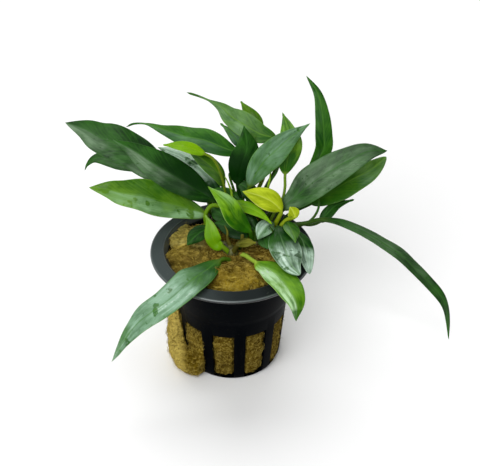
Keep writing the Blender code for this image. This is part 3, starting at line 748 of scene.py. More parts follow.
leafShapes = {
    "left_wide": dict(
        path=[(-5.5, 14.5, 47), (-9, 17, 54.5), (-17, 18, 58.5), (-25, 20, 63), (-31, 22, 67),
              (-38, 25, 70), (-45, 27, 72), (-50, 29, 74), (-57, 31, 75.5)],
        stalk=2, half=6.5, widest=0.54, faces=[(0.1, -0.5, 0.8), (-0.1, -0.6, 0.8)], wave=0.4,
        sheen=(0.06, 0.62, -0.1)),
    "left_over": dict(
        path=[(-4, 13, 47), (-6, 14.5, 54), (-12, 16, 58), (-18, 17, 62), (-26, 18, 67), (-34, 20, 72),
              (-40, 21, 75)],
        half=5.6, widest=0.45, tip=1.1, faces=[(0.1, -0.6, 0.8), (-0.1, -0.7, 0.7)], fold=10, wave=0.2,
        sheen=(0.03, 0.65, 0.15), paintedShade=(0.85, 0.45, 0.65)),
    "left_behind": dict(
        path=[(-7, 17.5, 47), (-10, 22, 54.5), (-19, 26, 58.5), (-28, 29, 59.5), (-36, 31, 59.5),
              (-42, 33, 59.5), (-48, 34, 59), (-51, 33, 57), (-52, 32, 55)],
        stalk=2, half=4.2, tip=1.2, faces=[(0, -0.3, 0.9), (-0.2, -0.4, 0.8)], fold=6, wave=0.2,
        sheen=(0.15, 0.3, 0.05)),
    "left_low": dict(
        path=[(-9, 11, 47), (-9, 12, 50), (-16, 11, 54), (-22.5, 10, 57), (-29, 9, 60), (-36, 8, 62),
              (-41, 8, 63.5), (-47.5, 8, 64.5)],
        half=6.2, widest=0.48, faces=[(0.1, -0.4, 0.9), (-0.1, -0.6, 0.8)], fold=12, wave=0.25,
        look="olive", sheen=(0.12, 1.9, -0.3, 0.0), paintedShade=(0.2, 0.0, 0.75)),
    "upper_left": dict(
        path=[(1, 20, 47), (3, 22, 58), (4.5, 21, 66), (2.5, 20.5, 69.5), (-2.5, 21, 71.5), (-9, 23.5, 73),
              (-16, 27, 72.5), (-23, 31, 72.5), (-29, 34, 73), (-34, 36, 72), (-37, 37, 70)],
        stalk=3, half=4.2, widest=0.32, tip=2.6, faces=[(0, -0.4, 0.9), (-0.1, -0.5, 0.8)], fold=9,
        wave=0.25, look="mid", sheen=(0.03, 0.22, 0.1), paintedShade=(0, 0, 1, 0.6)),
    "young_left": dict(
        path=[(-2, 14.5, 47), (-2, 15.5, 55), (-3.5, 15.5, 64), (-6, 15.5, 70.5), (-9, 16, 72.5),
              (-16, 16, 75.5), (-23, 17, 75.5)],
        stalk=4, half=1.9, widest=0.4, tip=1.0, faces=[(0, -0.6, 0.8), (0, -0.6, 0.8)], fold=14,
        look="lime", sheen=(0, 0.02, 0.05), stalkSize=0.65),
    "left_glossy": dict(
        path=[(-4.5, 19, 47), (-5, 19.5, 54), (-7, 21.5, 58), (-9.5, 23, 60.5), (-13, 25, 62.5),
              (-17, 26.5, 64.5), (-21.5, 27.5, 66), (-25.5, 28, 67.5)],
        half=3.5, widest=0.45, faces=[(0.2, -0.6, 0.8), (0, -0.6, 0.8)], wave=0.2, look="pale",
        sheen=(1.7, 1.2, 0.05), paintedShade=(0.95, 0.95, 0.38)),
    "left_inner": dict(
        path=[(-3, 17, 47), (-2.5, 18.5, 52), (-3, 19.5, 57), (-4.5, 20, 61.5), (-7.5, 20.5, 65),
              (-11, 21.5, 67.5), (-15, 23, 69.5)],
        stalk=2, half=2.9, tip=1.0, faces=[(0.5, -0.6, 0.6), (0.2, -0.6, 0.8)], look="fresh",
        sheen=(0.0, 0.1, 0.05)),
    "top_long": dict(
        path=[(7, 18, 47), (12, 21, 56), (16, 21.5, 66), (14.5, 22, 74), (9, 24, 75.5), (4, 26.5, 77.5),
              (-0.5, 29.5, 79), (-4, 32.5, 81), (-10, 35, 83), (-15.5, 36, 84.5)],
        stalk=3, half=4, widest=0.34, tip=3.4, faces=[(-0.2, -0.6, 0.7), (0.1, -0.6, 0.8)], wave=0.2,
        look="fresh", sheen=(0.3, 0.45, 0.05), paintedShade=(0, 0, 1, 0.75)),
    "top_small": dict(
        path=[(5, 19, 47), (11, 24, 58), (12, 28, 67), (10, 31, 73), (7.5, 33.5, 75.5), (5, 35.5, 78),
              (3, 37, 80.5)],
        stalk=3, half=2.3, widest=0.4, tip=1.1, faces=[(0.3, -0.7, 0.6), (0.1, -0.7, 0.7)], fold=10,
        look="olive"),
    "top_narrow": dict(
        path=[(3, 20, 47), (5, 24, 58), (4, 25, 64), (3, 25, 69), (1.5, 25.5, 72), (-0.5, 27, 74),
              (-4, 29, 76.5)],
        stalk=3, half=1.5, widest=0.4, tip=1.3, faces=[(-0.3, -0.7, 0.6), (-0.2, -0.7, 0.7)], fold=10,
        look="mid", sheen=(0.25, 0.25, 0.05)),
    "middle_dark": dict(
        path=[(2, 16, 47), (3, 17, 53), (2, 18, 59), (3, 18, 66), (5, 19, 73), (4, 22, 80)],
        stalk=2, half=4.6, tip=1.2, faces=[(0.1, -0.9, 0.4), (0.1, -0.8, 0.6)], fold=6, wave=0.2,
        sheen=(0.0, 0.02, 0.05), paintedShade=(0.95, 0.95, 0.65)),
    "middle_right": dict(
        path=[(5, 16, 47), (5.5, 16, 53), (6, 15, 60), (10, 15, 69), (14.5, 15, 74.5), (20, 17, 79),
              (26, 20, 82)],
        stalk=2, half=4.4, widest=0.45, tip=1.2, faces=[(0.2, -0.8, 0.6), (0.2, -0.7, 0.7)], wave=0.2,
        look="mid", sheen=(0.35, 0.5, -0.1)),
    "right_behind": dict(
        path=[(13, 13, 47), (17, 15, 54), (18, 15.5, 59), (18, 16.5, 64), (19, 18.5, 71), (19.5, 20, 75.5),
              (18.5, 24, 78.5), (17, 27, 82)],
        stalk=3, half=4.2, widest=0.42, tip=1.2, faces=[(0.3, -0.8, 0.4), (0.2, -0.8, 0.5)], wave=0.15,
        look="young", sheen=(0.1, 0.1, 0.05), paintedShade=(0.5, 0.5, 0.25), stalkSize=0.7),
    "tall": dict(
        path=[(15, 14.5, 47), (21.5, 17, 55), (26, 18, 62.5), (29, 20, 67), (31, 22, 71), (31, 25, 74.5),
              (30.5, 28, 80), (29, 32, 86), (25, 35, 91.5)],
        stalk=2, half=3.0, widest=0.36, faces=[(0.4, -0.8, 0.4), (0.2, -0.8, 0.5)], fold=10, look="mid",
        sheen=(0.02, 0.12, 0.3), paintedShade=(0.5, 0.5, 0.35)),
    "right_wide": dict(
        path=[(16, 11, 47), (17, 12, 52.5), (22, 12, 58), (27.5, 12, 64), (32.5, 12, 68), (37.5, 13, 71),
              (45, 15, 74), (52, 18, 72.5)],
        half=5.7, widest=0.42, tip=0.8, faces=[(-0.2, -0.7, 0.7), (-0.1, -0.6, 0.8)], wave=0.3,
        sheen=(0.8, 0.9, -0.3, 0.4)),
    "right_under": dict(
        path=[(17, 13, 47), (22, 15, 50), (27, 15, 53), (33.5, 16, 57), (40, 17, 61), (47, 19, 64),
              (52.5, 22, 67.5)],
        stalk=2, half=5.0, widest=0.42, tip=0.65, faces=[(-0.2, -0.6, 0.8), (-0.2, -0.6, 0.8)], fold=6,
        wave=0.25, look="fresh", sheen=(0.35, 0.3, 0.55), paintedShade=(0.6, 0.7, 0.6)),
    "right_small": dict(
        path=[(18, 10, 47), (23, 10, 48), (27, 9, 48.5), (30, 9.5, 49.5), (32.5, 11, 51.5),
              (36, 13.5, 53.5), (42, 16, 54)],
        stalk=3, half=1.8, widest=0.3, tip=1.2, faces=[(-0.1, -0.5, 0.8), (0, -0.5, 0.8)], fold=12,
        sheen=(0, 0.02, 0.05)),
    "drooping": dict(
        path=[(18, 8, 47), (22, 8, 49), (26, 8, 50), (30.5, 7, 52), (37.5, 5, 52), (46.5, 2, 49),
              (51.5, 1, 46), (57, -1, 43), (61.5, -2, 38.5), (66.5, -4, 34), (72, -6, 27.5), (74.5, -7, 20),
              (76, -7, 10)],
        stalk=3, half=2.1, widest=0.55, faces=[(0, -0.4, 0.9), (0.5, -0.7, 0.4)], fold=12, wave=0.15,
        sheen=(0.55, 0.5, 0.05, 0.0)),
    "young_centre": dict(
        path=[(7, 4, 47), (6, 3, 50), (4, 3, 52.5), (1, 3, 56), (-2, 5, 60.5), (-8, 8, 65)],
        half=3.4, widest=0.42, tip=1.1, faces=[(0.3, -0.7, 0.6), (0.1, -0.6, 0.8)], fold=12, wave=0.15,
        look="young", sheen=(0.42, 0.06, 0.5), paintedShade=(0.85, 0.95, 0.45)),
    "young_behind": dict(
        path=[(-8, 8.5, 47), (-9, 8.5, 52.5), (-7, 10, 55.5), (-3.5, 10, 55.5), (1.5, 9.5, 56),
              (5, 8.5, 56), (8, 7, 55.5), (11, 5, 54.5), (13.5, 3, 53)],
        stalk=3, half=2.0, widest=0.45, tip=1.1, faces=[(0, -0.5, 0.8), (0, -0.5, 0.8)], fold=12,
        look="lime", paintedShade=(0.5, 0.5, 0.25)),
    "yellow": dict(
        path=[(14, 9, 47), (16, 8.5, 52), (16.5, 8.5, 54.5), (13.5, 9.5, 57.5), (9, 11, 59),
              (3.5, 13, 59.5)],
        stalk=2, half=3.9, widest=0.4, tip=1.0, faces=[(0, -0.5, 0.8), (0, -0.4, 0.9)], fold=6, wave=0.2,
        look="yellow", paintedShade=(0.35, 0.1, 0.35)),
    "young_small": dict(
        path=[(-1, -2.5, 47), (-3, -2, 47.5), (-5, -1, 47.5), (-6.5, 0, 50), (-7.5, 3, 53), (-9, 5, 55.5)],
        half=2.4, widest=0.4, tip=1.2, faces=[(-0.2, -0.8, 0.5), (-0.1, -0.7, 0.6)], look="lime",
        sheen=(0.95, 0.3, 0.5), paintedShade=(0.42, 0.42, 1.3)),
    "young_tiny": dict(
        path=[(15.5, 7.5, 47), (18.5, 8, 51), (21, 7, 53), (20.5, 7.5, 55), (19.5, 8, 56.5)],
        stalk=2, half=2.0, widest=0.4, faces=[(0.3, -0.7, 0.5), (0.2, -0.7, 0.6)], look="yellow"),
    "front_left": dict(
        path=[(-0.5, -5.5, 46), (-4, -8, 46), (-8, -13, 46.5), (-13, -20, 47.5), (-20, -28, 46),
              (-27, -31, 42), (-31.5, -32, 37.5), (-35.5, -32.5, 31), (-39.5, -31, 22)],
        half=5.3, widest=0.28, tip=1.0, faces=[(-0.1, -0.3, 0.9), (-0.7, -0.6, 0.4)], fold=6, wave=0.25,
        look="mid", sheen=(0.95, 1.15, 0.1), paintedShade=(0.5, 0.3, 0.2)),
    "front_right": dict(
        path=[(3, -3.5, 47), (5, -5.5, 46), (8, -9.5, 46.5), (12, -14, 47.5), (15.5, -19.5, 47.5),
              (18.5, -25, 47), (20.5, -29, 45), (20.5, -31.5, 40)],
        stalk=2, half=5.6, widest=0.45, faces=[(0.3, -0.3, 0.9), (0.5, -0.7, 0.4)], fold=12, wave=0.25,
        look="young", sheen=(1.3, 0.05, 0.05), paintedShade=(0.0, 0.35, 1.3, 0.85)),
    "inner_dark": dict(
        path=[(12, 7, 47), (13.5, 7, 50.5), (12, 4.5, 51.5), (10, 1, 51), (8.5, -1.5, 50)],
        half=2.9, tip=1.0, faces=[(-0.2, -0.6, 0.8), (-0.2, -0.6, 0.8)], wave=0.15, look="pale",
        sheen=(1.1, 0.5, 0.0)),
    "hanging_wide": dict(
        path=[(14.5, 5.5, 47), (15.5, 4.5, 50.5), (16, 1, 50.5), (17, -4, 50), (18, -9.5, 50),
              (19.5, -15, 49.5), (22, -18.5, 48.5)],
        half=5.2, tip=0.7, faces=[(0, -0.3, 0.9), (0.2, -0.6, 0.8)], fold=6, wave=0.2, look="pale",
        sheen=(1.1, 1.15, 0.3), paintedShade=(0.7, 0.95, 0.4)),
    "hanging_narrow": dict(
        path=[(17, 5.5, 47), (18.5, 5.5, 51.5), (19.5, 2, 52.5), (20.5, -3, 53), (21, -6, 52)],
        half=2.5, tip=1.1, faces=[(0.1, -0.4, 0.9), (0.2, -0.5, 0.8)], fold=10, look="fresh",
        sheen=(0.45, 0.1, 0.1), paintedShade=(0.0, 0.4, 0.8)),
    "hanging_right": dict(
        path=[(18.5, 4.5, 47), (20.5, 5, 49), (23.5, 0, 48.5), (24.5, -7, 47.5), (25.5, -13, 44.5)],
        half=3.3, tip=0.6, faces=[(0.3, -0.3, 0.9), (0.5, -0.6, 0.6)], fold=6, wave=0.15, look="pale",
        sheen=(1.5, 1.6, 0.45), paintedShade=(0.4, 0.3, 0.45)),
    "dark_left": dict(
        path=[(-4, 5, 47), (-7, 5, 49), (-9.5, 4, 49.5), (-12, 2, 49), (-15, -2, 48)],
        half=2.8, tip=1.0, faces=[(-0.1, -0.5, 0.9), (-0.2, -0.6, 0.8)], fold=6, wave=0.15),
    "dark_centre": dict(
        path=[(2, -0.5, 47), (4.5, 2, 47.6), (2, 4.5, 49), (-2, 6, 50), (-6, 7.5, 50.5)],
        half=3.1, widest=0.45, faces=[(0.1, -0.6, 0.8), (0.1, -0.6, 0.8)], wave=0.2, sheen=(0, 0.12, 0.05),
        paintedShade=(0.4, 0.6, 0.8)),
    "olive_small": dict(
        path=[(0.5, -2.5, 47), (2, -2.7, 48.8), (4, -3.2, 50), (8, -4.5, 51)],
        half=1.5, tip=1.2, faces=[(0, -0.5, 0.9), (0, -0.5, 0.9)], fold=6, wave=0.05, look="brown",
        paintedShade=(0.2, 0.2, 0.5)),
    "crown_right": dict(
        path=[(9, 7, 47), (8.5, 7, 49), (6, 8.5, 50.5), (4, 10, 50.5), (1.5, 11, 50)],
        half=2.2, tip=1.0, faces=[(0.1, -0.7, 0.6), (0.1, -0.7, 0.6)], sheen=(0, 0.03, 0.05),
        paintedShade=(0.6, 0.6, 1.2)),
    "crown_low": dict(
        path=[(10, 4.5, 47), (10, 3, 48.5), (11, 0, 48.5), (12, -3.5, 47.5)],
        half=2.3, tip=1.0, faces=[(-0.1, -0.6, 0.8), (-0.2, -0.6, 0.8)], sheen=(0.25, 0.1, 0.05)),
    "rear_left": dict(
        path=[(-3, 20.5, 47), (-5, 25, 53), (-8, 29, 57), (-14, 33, 58.5), (-21, 37, 57), (-28, 40, 52)],
        stalk=2, half=3.6, widest=0.45, tip=1.2, faces=[(0.2, -0.4, 0.9), (-0.2, 0.2, 0.9)], wave=0.15,
        sheen=(0.1, 0.1, 0.05)),
    "rear_middle": dict(
        path=[(5, 21, 47), (7, 27, 50), (8, 32, 52), (9, 37, 51.5), (10, 41, 48.5)],
        stalk=2, half=3.4, widest=0.45, tip=1.2, faces=[(0, 0.3, 0.9), (0, 0.8, 0.6)], wave=0.15,
        sheen=(0.15, 0.1, 0.05)),
    "rear_right": dict(
        path=[(11.5, 15.5, 47), (22, 21, 52), (31, 27, 53), (39, 32, 51), (46, 36, 46)],
        stalk=2, half=4.0, widest=0.45, tip=1.2, faces=[(0.2, 0.3, 0.9), (0.4, 0.7, 0.6)], wave=0.2,
        sheen=(0.1, 0.15, 0.05)),
    "inner_rear": dict(
        path=[(4, 14, 47), (4, 15, 51.5), (0.5, 16.5, 54), (-3.5, 17.5, 55.5), (-8, 18.5, 56)],
        half=2.4, tip=1.0, faces=[(0.1, -0.7, 0.6), (0.1, -0.7, 0.6)], look="mid", sheen=(0, 0.05, 0),
        alone=True),
    "inner_left": dict(
        path=[(-1, 8, 47), (-1.5, 8.5, 50.5), (-4, 10.5, 52), (-7, 13, 53)],
        half=2.8, faces=[(0.1, -0.7, 0.6), (0.1, -0.7, 0.6)], sheen=(0, 0.05, 0), alone=True),
    "inner_centre": dict(
        path=[(8, 3.5, 47), (8, 4.5, 49), (5, 6.5, 50.5), (1, 8, 51), (-2, 9, 51)],
        half=2.8, faces=[(0, -0.7, 0.6), (0, -0.7, 0.6)], sheen=(0, 0.05, 0), alone=True),
    "inner_back": dict(
        path=[(10, 14, 47), (9.5, 14.5, 52), (7, 15.5, 56), (4.5, 17, 58.5), (1, 18.5, 59.5)],
        half=2.6, faces=[(0, -0.7, 0.6), (0, -0.7, 0.6)], sheen=(0, 0.03, 0), alone=True),
}

leafBuild = {
    "stalkRadius": 0.7,
    "halfThickness": 0.2,
    "keel": (0.65, 0.55),  # how far the midrib stands out below, at the blade's base, and its half width
    "groove": (0.16, 0.4),  # how deep it lies in the upper face, and how wide
    "curl": 0.25,  # how far the edges turn down
    "tail": 0.42,  # half the width of a drawn-out tip
    "tipFrom": 0.84,  # where along the blade the painted shade on the tip begins
    "stalkRings": 18,
    "foot": (1.5, 2.5),  # how far the stalk goes on down into the wool, and over how long a stretch
}

# Looks: the colours of the upper face in dark and light places, of the midrib, the edge with its
# painted highlight, the underside, the painted sheen and the stalk, and how strongly the veins and the
# lengthwise grain show
lookUsual = {
    "glint": (0.62, 0.74, 0.66),  # a painted highlight where the painted sheen is thick
    "patches": 1,  # how strongly wet patches show,
    "wetFrom": 0.60,  # and how rare they are
    "slot": "leaf",
}
leafLooks = {
    "dark": dict(deep=(0.0016, 0.022, 0.0008), light=(0.022, 0.105, 0.007), rib=(0.04, 0.15, 0.02),
        edge=(0.04, 0.13, 0.02), under=(0.025, 0.1, 0.01), sheen=(0.18, 0.275, 0.165),
        stalk=(0.035, 0.085, 0.006), vein=0.42, grain=0.35, patches=0.15),
    "mid": dict(deep=(0.007, 0.058, 0.002), light=(0.042, 0.155, 0.009), rib=(0.09, 0.25, 0.03),
        edge=(0.1, 0.26, 0.03), under=(0.06, 0.18, 0.014), sheen=(0.24, 0.4, 0.27),
        stalk=(0.08, 0.15, 0.008), vein=0.4, grain=0.35),
    "pale": dict(deep=(0.003, 0.035, 0.002), light=(0.04, 0.14, 0.018), rib=(0.2, 0.36, 0.16),
        edge=(0.3, 0.45, 0.28), under=(0.06, 0.18, 0.014), sheen=(0.48, 0.66, 0.52),
        stalk=(0.05, 0.11, 0.008), vein=0.5, grain=0.62, glint=(0.84, 0.94, 0.87)),
    "olive": dict(deep=(0.026, 0.105, 0.002), light=(0.115, 0.255, 0.012), rib=(0.14, 0.3, 0.03),
        edge=(0.18, 0.34, 0.05), under=(0.08, 0.2, 0.015), sheen=(0.26, 0.46, 0.22),
        stalk=(0.16, 0.24, 0.012), vein=0.34, grain=0.3, wetFrom=0.545),
    "fresh": dict(deep=(0.012, 0.075, 0.0015), light=(0.085, 0.21, 0.01), rib=(0.15, 0.32, 0.03),
        edge=(0.16, 0.33, 0.04), under=(0.08, 0.22, 0.015), sheen=(0.26, 0.42, 0.24),
        stalk=(0.035, 0.075, 0.005), vein=0.38, grain=0.35, patches=0.6),
    "young": dict(deep=(0.018, 0.105, 0.0015), light=(0.22, 0.46, 0.008), rib=(0.26, 0.5, 0.05),
        edge=(0.36, 0.58, 0.14), under=(0.14, 0.34, 0.02), sheen=(0.46, 0.72, 0.36),
        stalk=(0.34, 0.48, 0.05), vein=0.16, grain=0.7, patches=0.4, slot="young_leaf"),
    "brown": dict(deep=(0.03, 0.034, 0.003), light=(0.15, 0.15, 0.012), rib=(0.2, 0.22, 0.02),
        edge=(0.22, 0.26, 0.03), under=(0.08, 0.09, 0.008), sheen=(0.26, 0.3, 0.14),
        stalk=(0.09, 0.08, 0.01), vein=0.3, grain=0.5, patches=0.5),
    "lime": dict(deep=(0.1, 0.255, 0.001), light=(0.22, 0.44, 0.003), rib=(0.34, 0.52, 0.02),
        edge=(0.36, 0.52, 0.05), under=(0.18, 0.34, 0.01), sheen=(0.5, 0.62, 0.3), stalk=(0.13, 0.17, 0.01),
        vein=0.14, grain=0.3, patches=0.4, slot="young_leaf"),
    "yellow": dict(deep=(0.27, 0.36, 0.004), light=(0.52, 0.64, 0.025), rib=(0.62, 0.7, 0.14),
        edge=(0.62, 0.68, 0.18), under=(0.3, 0.4, 0.015), sheen=(0.7, 0.74, 0.4), stalk=(0.24, 0.33, 0.015),
        vein=0.34, grain=1.3, patches=0.3, slot="young_leaf"),
}
leafLooks = {name: {**lookUsual, **look} for name, look in leafLooks.items()}


def bladeWidth(t, widest, tip):
    # 0 at both ends and 1 where the blade is widest
    rise = np.sin(np.pi / 2 * np.clip(t / widest, 0, 1)) ** 0.75
    fall = np.sin(np.pi / 2 * np.clip((1 - t) / (1 - widest), 0, 1)) ** tip
    return np.where(t < widest, rise, fall)


def byHalf(place, shares):
    # The first share on one half and the second on the other, changing over at the midrib
    side = np.clip(place * 6 + 0.5, 0, 1)
    return shares[0] * (1 - side) + shares[1] * side


def makeLeaf(name, shape):
    build, path = leafBuild, shape["path"]
    curve, along = smoothPath(path)
    bladeStart = along[shape["stalk"] * pathSamples]
    bladeLength = along[-1] - bladeStart
    bladeRings = leafTube["rings"] - build["stalkRings"]
    blade = (np.arange(bladeRings) / (bladeRings - 1)) ** 0.97
    distance = np.concatenate([np.linspace(0, bladeStart, build["stalkRings"], endpoint=False),
                               bladeStart + blade * bladeLength])
    t = np.clip((distance - bladeStart) / bladeLength, 0, 1)  # 0 along the stalk, 1 at the tip
    run = (distance - bladeStart)[:, None]

    middle = atDistance(curve, along, distance)
    ahead = unit(atDistance(curve, along, distance + 0.6) - atDistance(curve, along, distance - 0.6))
    faces = np.array([unit(np.array(f, float)) for f in shape["faces"]])
    face = np.stack([np.interp(t, (0, 1), faces[:, k]) for k in range(3)], -1)
    side = unit(np.cross(face, ahead))
    up = np.cross(ahead, side)
    depth, stretch = build["foot"]
    middle[:, 2] -= np.clip(1 - distance / stretch, 0, 1) * depth

    c, s = np.cos(leafTube["angles"]), np.sin(leafTube["angles"])
    flat = np.clip(t * 9, 0, 1) ** 0.8  # 0 on the round stalk, 1 on the flat blade
    stalkRadius = build["stalkRadius"] * shape["stalkSize"] * (1 + 0.35 * np.clip(1 - distance / 5, 0, 1))
    half = stalkRadius * (1 - t) ** 2 + shape["half"] * bladeWidth(t, shape["widest"], shape["tip"])
    half = np.maximum(half, build["tail"] * np.clip((1 - t) * 25, 0, 1))
    spread = c * (0.45 + 0.55 * c ** 2)  # more points near the midrib
    place = c * (1 - flat[:, None]) + spread * flat[:, None]
    across = half[:, None] * place
    thick = build["halfThickness"] * np.clip((1 - t) * 12, 0.15, 1)
    body = np.sign(s) * np.abs(s) ** (1 - 0.45 * flat[:, None])
    through = (stalkRadius * (1 - flat) + thick * flat)[:, None] * body

    # The midrib's keel and groove
    keel, keelWidth = build["keel"]
    below = np.clip(-s, 0, 1) ** 0.5
    through = through - ((keel * (1 - t) ** 0.8 * flat)[:, None] * below
                         * np.exp(-(across / keelWidth) ** 2))
    groove, grooveWidth = build["groove"]
    above = np.clip(s, 0, 1) ** 0.5
    through = through - ((groove * (1 - t) ** 0.5 * flat)[:, None] * above
                         * np.exp(-(across / grooveWidth) ** 2))

    # The halves fold up from the midrib, and their edges turn down and wave
    fold = math.radians(shape["fold"])
    folded = np.clip(t * 5, 0, 1)
    crease = np.sqrt(across ** 2 + 0.16) - 0.4
    through = through + crease * (np.sin(fold) * folded)[:, None]
    through = through - build["curl"] * (across / np.maximum(half, 0.1)[:, None]) ** 4 * flat[:, None]
    start = sum(ord(letter) for letter in name) % 17  # a wave of its own for each leaf
    ripple = (np.sin(run / 3.1 + start + 1.3 * np.sign(c))
              + 0.6 * np.sin(run / 1.7 + 2.1 * start + 2.4 * np.sign(c)))
    through = through + shape["wave"] * ripple * place ** 2 * (flat * np.clip((1 - t) * 4, 0, 1))[:, None]
    across = across * (1 + 0.012 * np.sin(run / 2.3 + start * 1.7 + 1.9 * np.sign(c)))
    across = across * np.cos(fold * folded)[:, None]
    points = sweep(middle, side, up, across, through)
    points[0], points[-1] = middle[0], path[-1]

    # What the paint reads: places on the blade, the side of it, and how much painted sheen and painted shade
    # there is
    ones = np.ones_like(across)
    paintedShade = (*shape["paintedShade"], 0)[:4]
    shadeShare = byHalf(place, paintedShade) * np.clip((paintedShade[2] - t) * 4, 0, 1)[:, None]
    shadeShare = np.maximum(shadeShare, paintedShade[3] * np.clip((t - build["tipFrom"]) * 25, 0, 1)[:, None])
    sheen = (*shape["sheen"], 1)[:4]
    sheenShare = byHalf(place, sheen) * (np.clip((t - sheen[2]) * 4, 0, 1) * (1 - (1 - sheen[3]) * t))[:, None]
    upper = (0.5 + 0.5 * np.sign(s) * np.clip(flat, 0, 1)[:, None]) * ones
    marks = {
        "leafPlace": np.stack([place, run * ones, t[:, None] * ones], -1),
        "leafFace": np.stack([upper, np.abs(across), flat[:, None] * ones], -1),
        "leafSheenAndShade": np.stack([sheenShare, start * 0.37 * ones, shadeShare * ones], -1),
    }
    obj = bendTube("blade_" + name, leafTube, points, marks)
    nodes = [] if shape["alone"] else ["leaf_" + name]
    dress(obj, leafPaints[shape["look"]], leafLooks[shape["look"]]["slot"], *nodes)


def leafPaint(name, look):
    p = Paint("leaf " + name)
    across, run, t = p.mark("leafPlace")
    top, fromRib, blade = p.mark("leafFace")
    sheenShare, seed, paintedShade = p.mark("leafSheenAndShade")

    # Broad blotches, fine mottling and a brushed look along the veins, which leave the midrib at a
    # slant and then run on towards the tip
    blotch = p.step(p.noise(110, 3), 0.36, 0.66)
    mottle = p.noise(1100, 3, rough=0.6)
    veinRun = run * 0.45 - (fromRib ** 0.75) * 1.5 + seed
    brushed = p.noise(1.0, 3, rough=0.6, where=p.join(veinRun * 1.7, fromRib * 0.16, across * 0.5))
    vein = p.step(brushed, 0.35, 0.65)
    streak = p.noise(1.0, 4, rough=0.65, where=p.join(veinRun * 1.1, fromRib * 0.4, run * 0.10 + seed))
    grain = p.noise(1.0, 4, rough=0.6, where=p.join(across * 2.6 + seed, run * 0.055, streak * 0.5))
    lines = p.step(grain, 0.36, 0.64)
    rib = (1 - p.step(fromRib, 0.05, 0.38)) * blade
    # a painted highlight along the blade's edge
    edge = p.step(across.absolute(), 0.925, 1.0) * blade

    # Wet patches are dark and glossy, and between them a pale painted sheen stands in for the reflection of
    # the light, where the surface is duller
    wetFrom = look["wetFrom"]
    wet = p.step(p.noise(170, 3, rough=0.55), wetFrom, wetFrom + 0.045) * look["patches"]
    drops = p.step(p.noise(700, 3, rough=0.6), 0.64, 0.69)
    cloud = p.step(p.noise(75, 3, rough=0.6), 0.30, 0.66)
    brushing = (0.55 + streak * 0.9) * (1 - look["grain"] + lines * (2 * look["grain"]))
    margin = 1 - p.step(across.absolute(), 0.72, 0.98) * 0.35
    sheen = sheenShare * (0.18 + cloud * 0.92) * brushing * margin
    sheen = sheen * (1 - wet * 0.85) * (1 - drops * 0.6) * (1 - rib * 0.5)

    # Darker towards the base: painted shade among the leaves of the crown
    shade = blotch * 0.6 + vein * look["vein"] + (0.18 - look["vein"] * 0.3) - (1 - t) * 0.25
    shade = shade + (lines - 0.5) * (look["grain"] * 0.45)
    # Painted highlights: where the painted sheen is thick, streaks and specks of it are painted lighter
    specks = 0.35 + p.step(p.noise(1500, 2), 0.5, 0.58) * 0.65
    glint = p.step(grain, 0.50, 0.64) * p.step(sheenShare, 0.86, 1.1) * p.step(cloud, 0.1, 0.8) * specks
    under = p.mix(rib * 0.5 + vein * 0.12, look["under"], look["rib"])
    stalk = p.mix(mottle * 0.5, look["stalk"], look["deep"])
    colour = p.cover(p.mix(shade, look["deep"], look["light"]), (rib * look["vein"], look["rib"]),
                     (sheen, look["sheen"]), (glint * 0.8, look["glint"]), (edge * 0.65, look["edge"]),
                     (1 - p.step(top, 0.2, 0.55), under), (1 - p.step(blade, 0.1, 0.7), stalk),
                     (paintedShade, look["deep"]))

    rough = 0.38 + sheen * 0.25 - wet * 0.12 + mottle * 0.08
    bump = p.bump(brushed * 0.8 + grain * 0.5 + drops * 0.6 + wet * 0.4, 0.00011, 0.8)
    return p.finish(colour, rough, **{
        "Normal": bump, "Coat Weight": wet * 0.15 + drops * 0.25 + glint * 0.4, "Coat Roughness": 0.08,
        "Specular IOR Level": 0.09})


leafPaints = {name: leafPaint(name, look) for name, look in leafLooks.items()}
for name, shape in leafShapes.items():
    makeLeaf(name, {**leafUsual, **shape})
print("leaves made:", len(leafShapes))


# Small stems between the leaves: bare stalks, a folded bud and sheaths, too small for solids

shoots = {  # path, radius at the foot and at the top, and look
    "stalk_curved": dict(
        path=[(11, 15.5, 47), (11.5, 16, 56), (13, 17, 60.5), (15, 17.5, 64), (16, 18, 67)],
        size=(0.6, 0.35), look="dark"),
    "bud": dict(path=[(10, 14, 47), (11.5, 14.5, 56), (12.5, 15, 61), (13, 16, 65), (12.5, 16.5, 67.5)],
        size=(0.85, 0.15), look="lime"),
    "sheath_rear": dict(path=[(-0.5, 15, 47), (0, 16.5, 55), (-1, 17.5, 59), (-2.5, 18.5, 62)],
        size=(0.8, 0.15), look="young"),
    "stalk_rear": dict(path=[(2, 18.5, 47), (1, 18, 55), (-0.5, 18.5, 60.5), (-1, 19, 63)], size=(0.6, 0.4),
        look="dark"),
    "stalk_right": dict(
        path=[(20, 8.5, 47), (25.5, 8.5, 49.5), (28, 9.5, 51.5), (29.5, 11.5, 54), (29.5, 14, 57)],
        size=(0.6, 0.35), look="dark"),
    "sheath_front": dict(path=[(-0.5, 0.5, 45.5), (-1.5, 1, 48.5), (-1.5, 1.5, 51), (-2.5, 2.5, 53)],
        size=(0.8, 0.1), look="brown"),
    "stub_middle": dict(path=[(3, 0.5, 45.5), (3.5, 1, 48), (3.5, 1.5, 50)], size=(0.9, 0.5), look="brown"),
    "sheath_right": dict(path=[(12.5, 3, 46), (13.5, 2, 49.5), (13.5, 1, 52), (12.5, 0.5, 54)],
        size=(0.7, 0.1), look="fresh"),
}
footColour = (0.05, 0.04, 0.01)  # what they darken to towards their feet
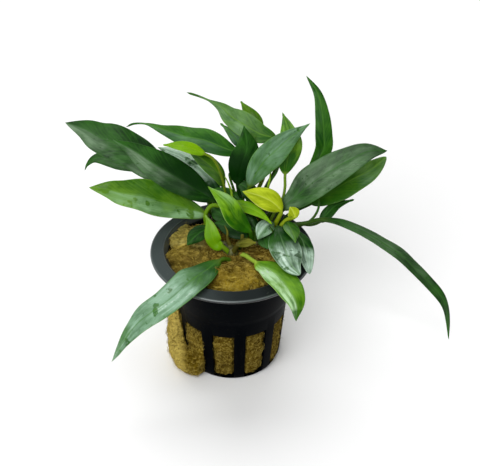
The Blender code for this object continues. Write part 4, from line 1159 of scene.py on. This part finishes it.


def shootPaint(name, look):
    p = Paint("shoot " + name)
    grain = p.noise(900, 3)
    height = p.split(p.place())[2]
    colour = p.mix(p.step(grain, 0.35, 0.65), look["stalk"], look["light"])
    colour = p.mix(p.step(height, 0.052, 0.045) * 0.7, colour, footColour)
    return p.finish(colour, 0.4 + grain * 0.1, **{"Specular IOR Level": 0.15,
                                                  "Normal": p.bump(grain, 0.00005, 0.6)})


def makeShoot(name, path, size):
    t, middle, side, up = stemLine(path, (0, -1, 0.2))
    angle = stemTube["angles"]
    width = (size[0] + (size[1] - size[0]) * t) * np.clip((1 - t) * 20, 0, 1) ** 0.5
    width = width[:, None]
    points = sweep(middle, side, up, width * np.cos(angle), width * 0.75 * np.sin(angle))
    points[0] = middle[0]
    return bendTube(name, stemTube, points)


shootPaints = {look: shootPaint(look, leafLooks[look])
               for look in sorted({s["look"] for s in shoots.values()})}
for name, shoot in shoots.items():
    look = shoot["look"]
    dress(makeShoot(name, shoot["path"], shoot["size"]), shootPaints[look], leafLooks[look]["slot"])
print("shoots made:", len(shoots))


# Floor and soft studio light

studio = {
    "floor": (0.95, 0.95, 0.95),
    "floorSize": 6,
    "sky": 0.14,
    "aim": (0, 0, 0.05),
}
softBoxes = {  # power in watts, width in metres and place
    "rear box": (14, 1.4, (-0.1, 0.75, 1.15)),
    "front box": (20, 1.2, (-0.45, -0.9, 1.0)),
}


def makeStudio():
    deselect()
    bpy.ops.mesh.primitive_plane_add(size=studio["floorSize"], location=(0, 0, 0))
    floor = bpy.context.object
    floor.name = "floor"
    floor.data.materials.append(Paint("floor").finish(studio["floor"], 0.9, **{"Specular IOR Level": 0.1}))
    world = bpy.data.worlds.new("studio")
    world.use_nodes = True
    sky = world.node_tree.nodes["Background"]
    sky.inputs["Color"].default_value = (1, 1, 1, 1)
    sky.inputs["Strength"].default_value = studio["sky"]
    bpy.context.scene.world = world
    for name, (power, size, place) in softBoxes.items():
        data = bpy.data.lights.new(name, "AREA")
        data.energy = power
        data.size = size
        lamp = bpy.data.objects.new(name, data)
        bpy.context.scene.collection.objects.link(lamp)
        lamp.location = place
        aim = Vector(studio["aim"]) - Vector(place)
        lamp.rotation_euler = aim.to_track_quat("-Z", "Y").to_euler()


makeStudio()
bpy.context.scene.view_settings.view_transform = "Standard"
print("studio lit")
